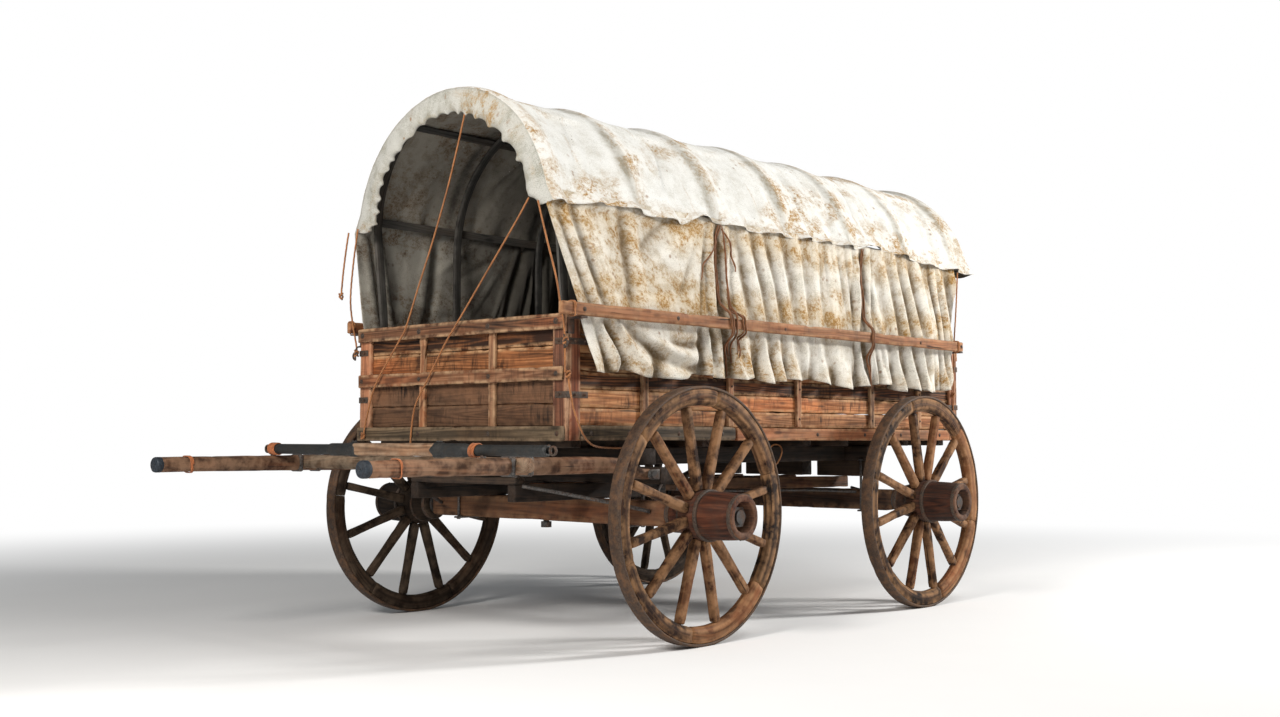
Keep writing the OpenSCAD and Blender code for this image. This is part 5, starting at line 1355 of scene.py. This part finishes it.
# evener: flat middle, iron clamps, round arms and eyes
B = Bag()
EX, EY, EZ = 1.720, 0.170, 0.845
block(B, (EX - 0.0285, EY - 0.262, EZ - 0.0255), (EX + 0.0285, EY + 0.262, EZ + 0.0275), ax=1, e=0.011, side=0.012, seg=0.02, chips=1.2)
B.make("evener_wood", M_PALE, "draught_shafts")
B = Bag()
for sgn in (1, -1):
    TY = lambda V, sgn=sgn: np.stack([V[:, 1] + EX, EY + sgn * V[:, 2], V[:, 0] + EZ], 1)
    lathe(B, [(0.0215, 0.240), (0.0290, 0.246), (0.0310, 0.256), (0.0310, 0.296), (0.0288, 0.300), (0.0272, 0.305), (0.0275, 0.360), (0.0270, 0.436), (0.0255, 0.441), (0.0226, 0.444), (0.0222, 0.60), (0.0224, 0.75), (0.0222, 0.880), (0.0210, 0.893), (0.0120, 0.8935), (0.0120, 0.238)], n=26, T=TY, rough=0.0012)
    for y in (0.266, 0.286):
        bolt(B, (EX, EY + sgn * y, EZ + 0.0305), (0, 0, 1), r=0.007, h=0.006, washer=False)
B.make("evener_irons", M_WRAP, "draught_shafts")
B = Bag()
for sgn in (1, -1):
    TX = lambda V, sgn=sgn: np.stack([V[:, 2] + EX, V[:, 0] + EY + sgn * 0.920, V[:, 1] + EZ], 1)
    a = np.linspace(0, 2 * PI, 9)[:-1]
    prof = [(0.0158 + 0.0042 * math.cos(q_), 0.0068 * math.sin(q_)) for q_ in a]
    lathe(B, prof, n=36, T=TX, rough=0.0003)
    bolt(B, (EX + 0.003, EY + sgn * 0.900, EZ + 0.017), (0, 0, 1), r=0.006, h=0.005, washer=False)
B.make("evener_eyes", M_RUST, "draught_shafts", ("evener_bar",))

# shafts: straps that hold the bars, and their bolts
B = Bag()
for sgn in (1, -1):
    for x in (FX + 0.820, FX + 0.920):
        bar(B, [(x, sgn * 0.668, 0.780), (x, sgn * 0.746, 0.780)], 0.020, 0.081, up=(0, 0, 1), e=0.012, side=0.02, seg=0.03, chips=0.1, rough=0.4)
    bolt(B, (FX + 0.870, sgn * 0.707, 0.818), (0, 0, 1), r=0.010, h=0.010, square=True)
    # posts that carry the evener over the shafts
    tube(B, [(EX, sgn * 0.707, 0.800), (EX, sgn * 0.707, 0.812), (EX, sgn * 0.707, 0.836)], 0.012, n=10)
B.make("shaft_irons", M_IRON, "draught_shafts")

# rope windings on the shafts and the evener
B = Bag()
wrap(B, (2.150, 0.707, 0.7805), (1, 0, 0), (0, 0, 1), 0.065, 0.065, 1.3, 0.006, r=0.0028, skew=0.004)
wrap(B, (2.150, -0.707, 0.7805), (1, 0, 0), (0, 0, 1), 0.065, 0.065, 2.3, 0.014, r=0.0030, skew=0.006)
wrap(B, (EX, 0.662, EZ), (0, 1, 0), (0, 0, 1), 0.0445, 0.0445, 5.0, 0.036, power=0.95, skew=0.006)
wrap(B, (EX, -0.690, EZ), (0, 1, 0), (0, 0, 1), 0.0445, 0.0445, 7.0, 0.050, power=0.95)
B.make("bar_windings", M_LASH, "draught_shafts")

# rope: loops on the curtain rails, lashings at the posts, a loop under the bed
B = Bag()
for sgn in (1, -1):
    wrap(B, (1.285 if sgn > 0 else 1.246, sgn * 0.765, 1.428), (1, 0, 0), (0, 0, 1), 0.030, 0.056, 1.6, 0.012, r=0.0030, power=0.4, skew=0.004)
    wrap(B, (-1.930, sgn * 0.765, 1.428), (1, 0, 0), (0, 0, 1), 0.030, 0.056, 2.4, 0.016, r=0.0030, power=0.4, skew=0.004)
    knot(B, (1.262, sgn * 0.704, 1.300), (0, 0, 1), r=0.009)
    knot(B, (-1.994, sgn * 0.704, 1.150), (0, 0, 1), r=0.009)
knot(B, (1.245, 0.703, 1.160), (0, 0, 1), r=0.009)
a = np.linspace(0, 2 * PI, 60)
loop = np.stack([-0.420 + 0.012 * np.sin(2 * a), 0.560 + 0.034 * np.sin(a), 0.812 - 0.050 * np.cos(a)], 1)
tube(B, loop, ROPE_R * 0.9, n=8, twist=0.2)
B.make("small_ropes", M_ROPE, "wagon")

# ------------------------------------------------------------------ the CAD nodes that stay
for node, mt in (("rail_brackets", M_RUST), ("rear_axle_arms", M_IRON), ("king_bolt", M_IRON), ("front_axle_arms", M_IRON), ("shaft_pins", M_IRON)):
    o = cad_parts[node]
    o.data.materials.clear()
    o.data.materials.append(mt)
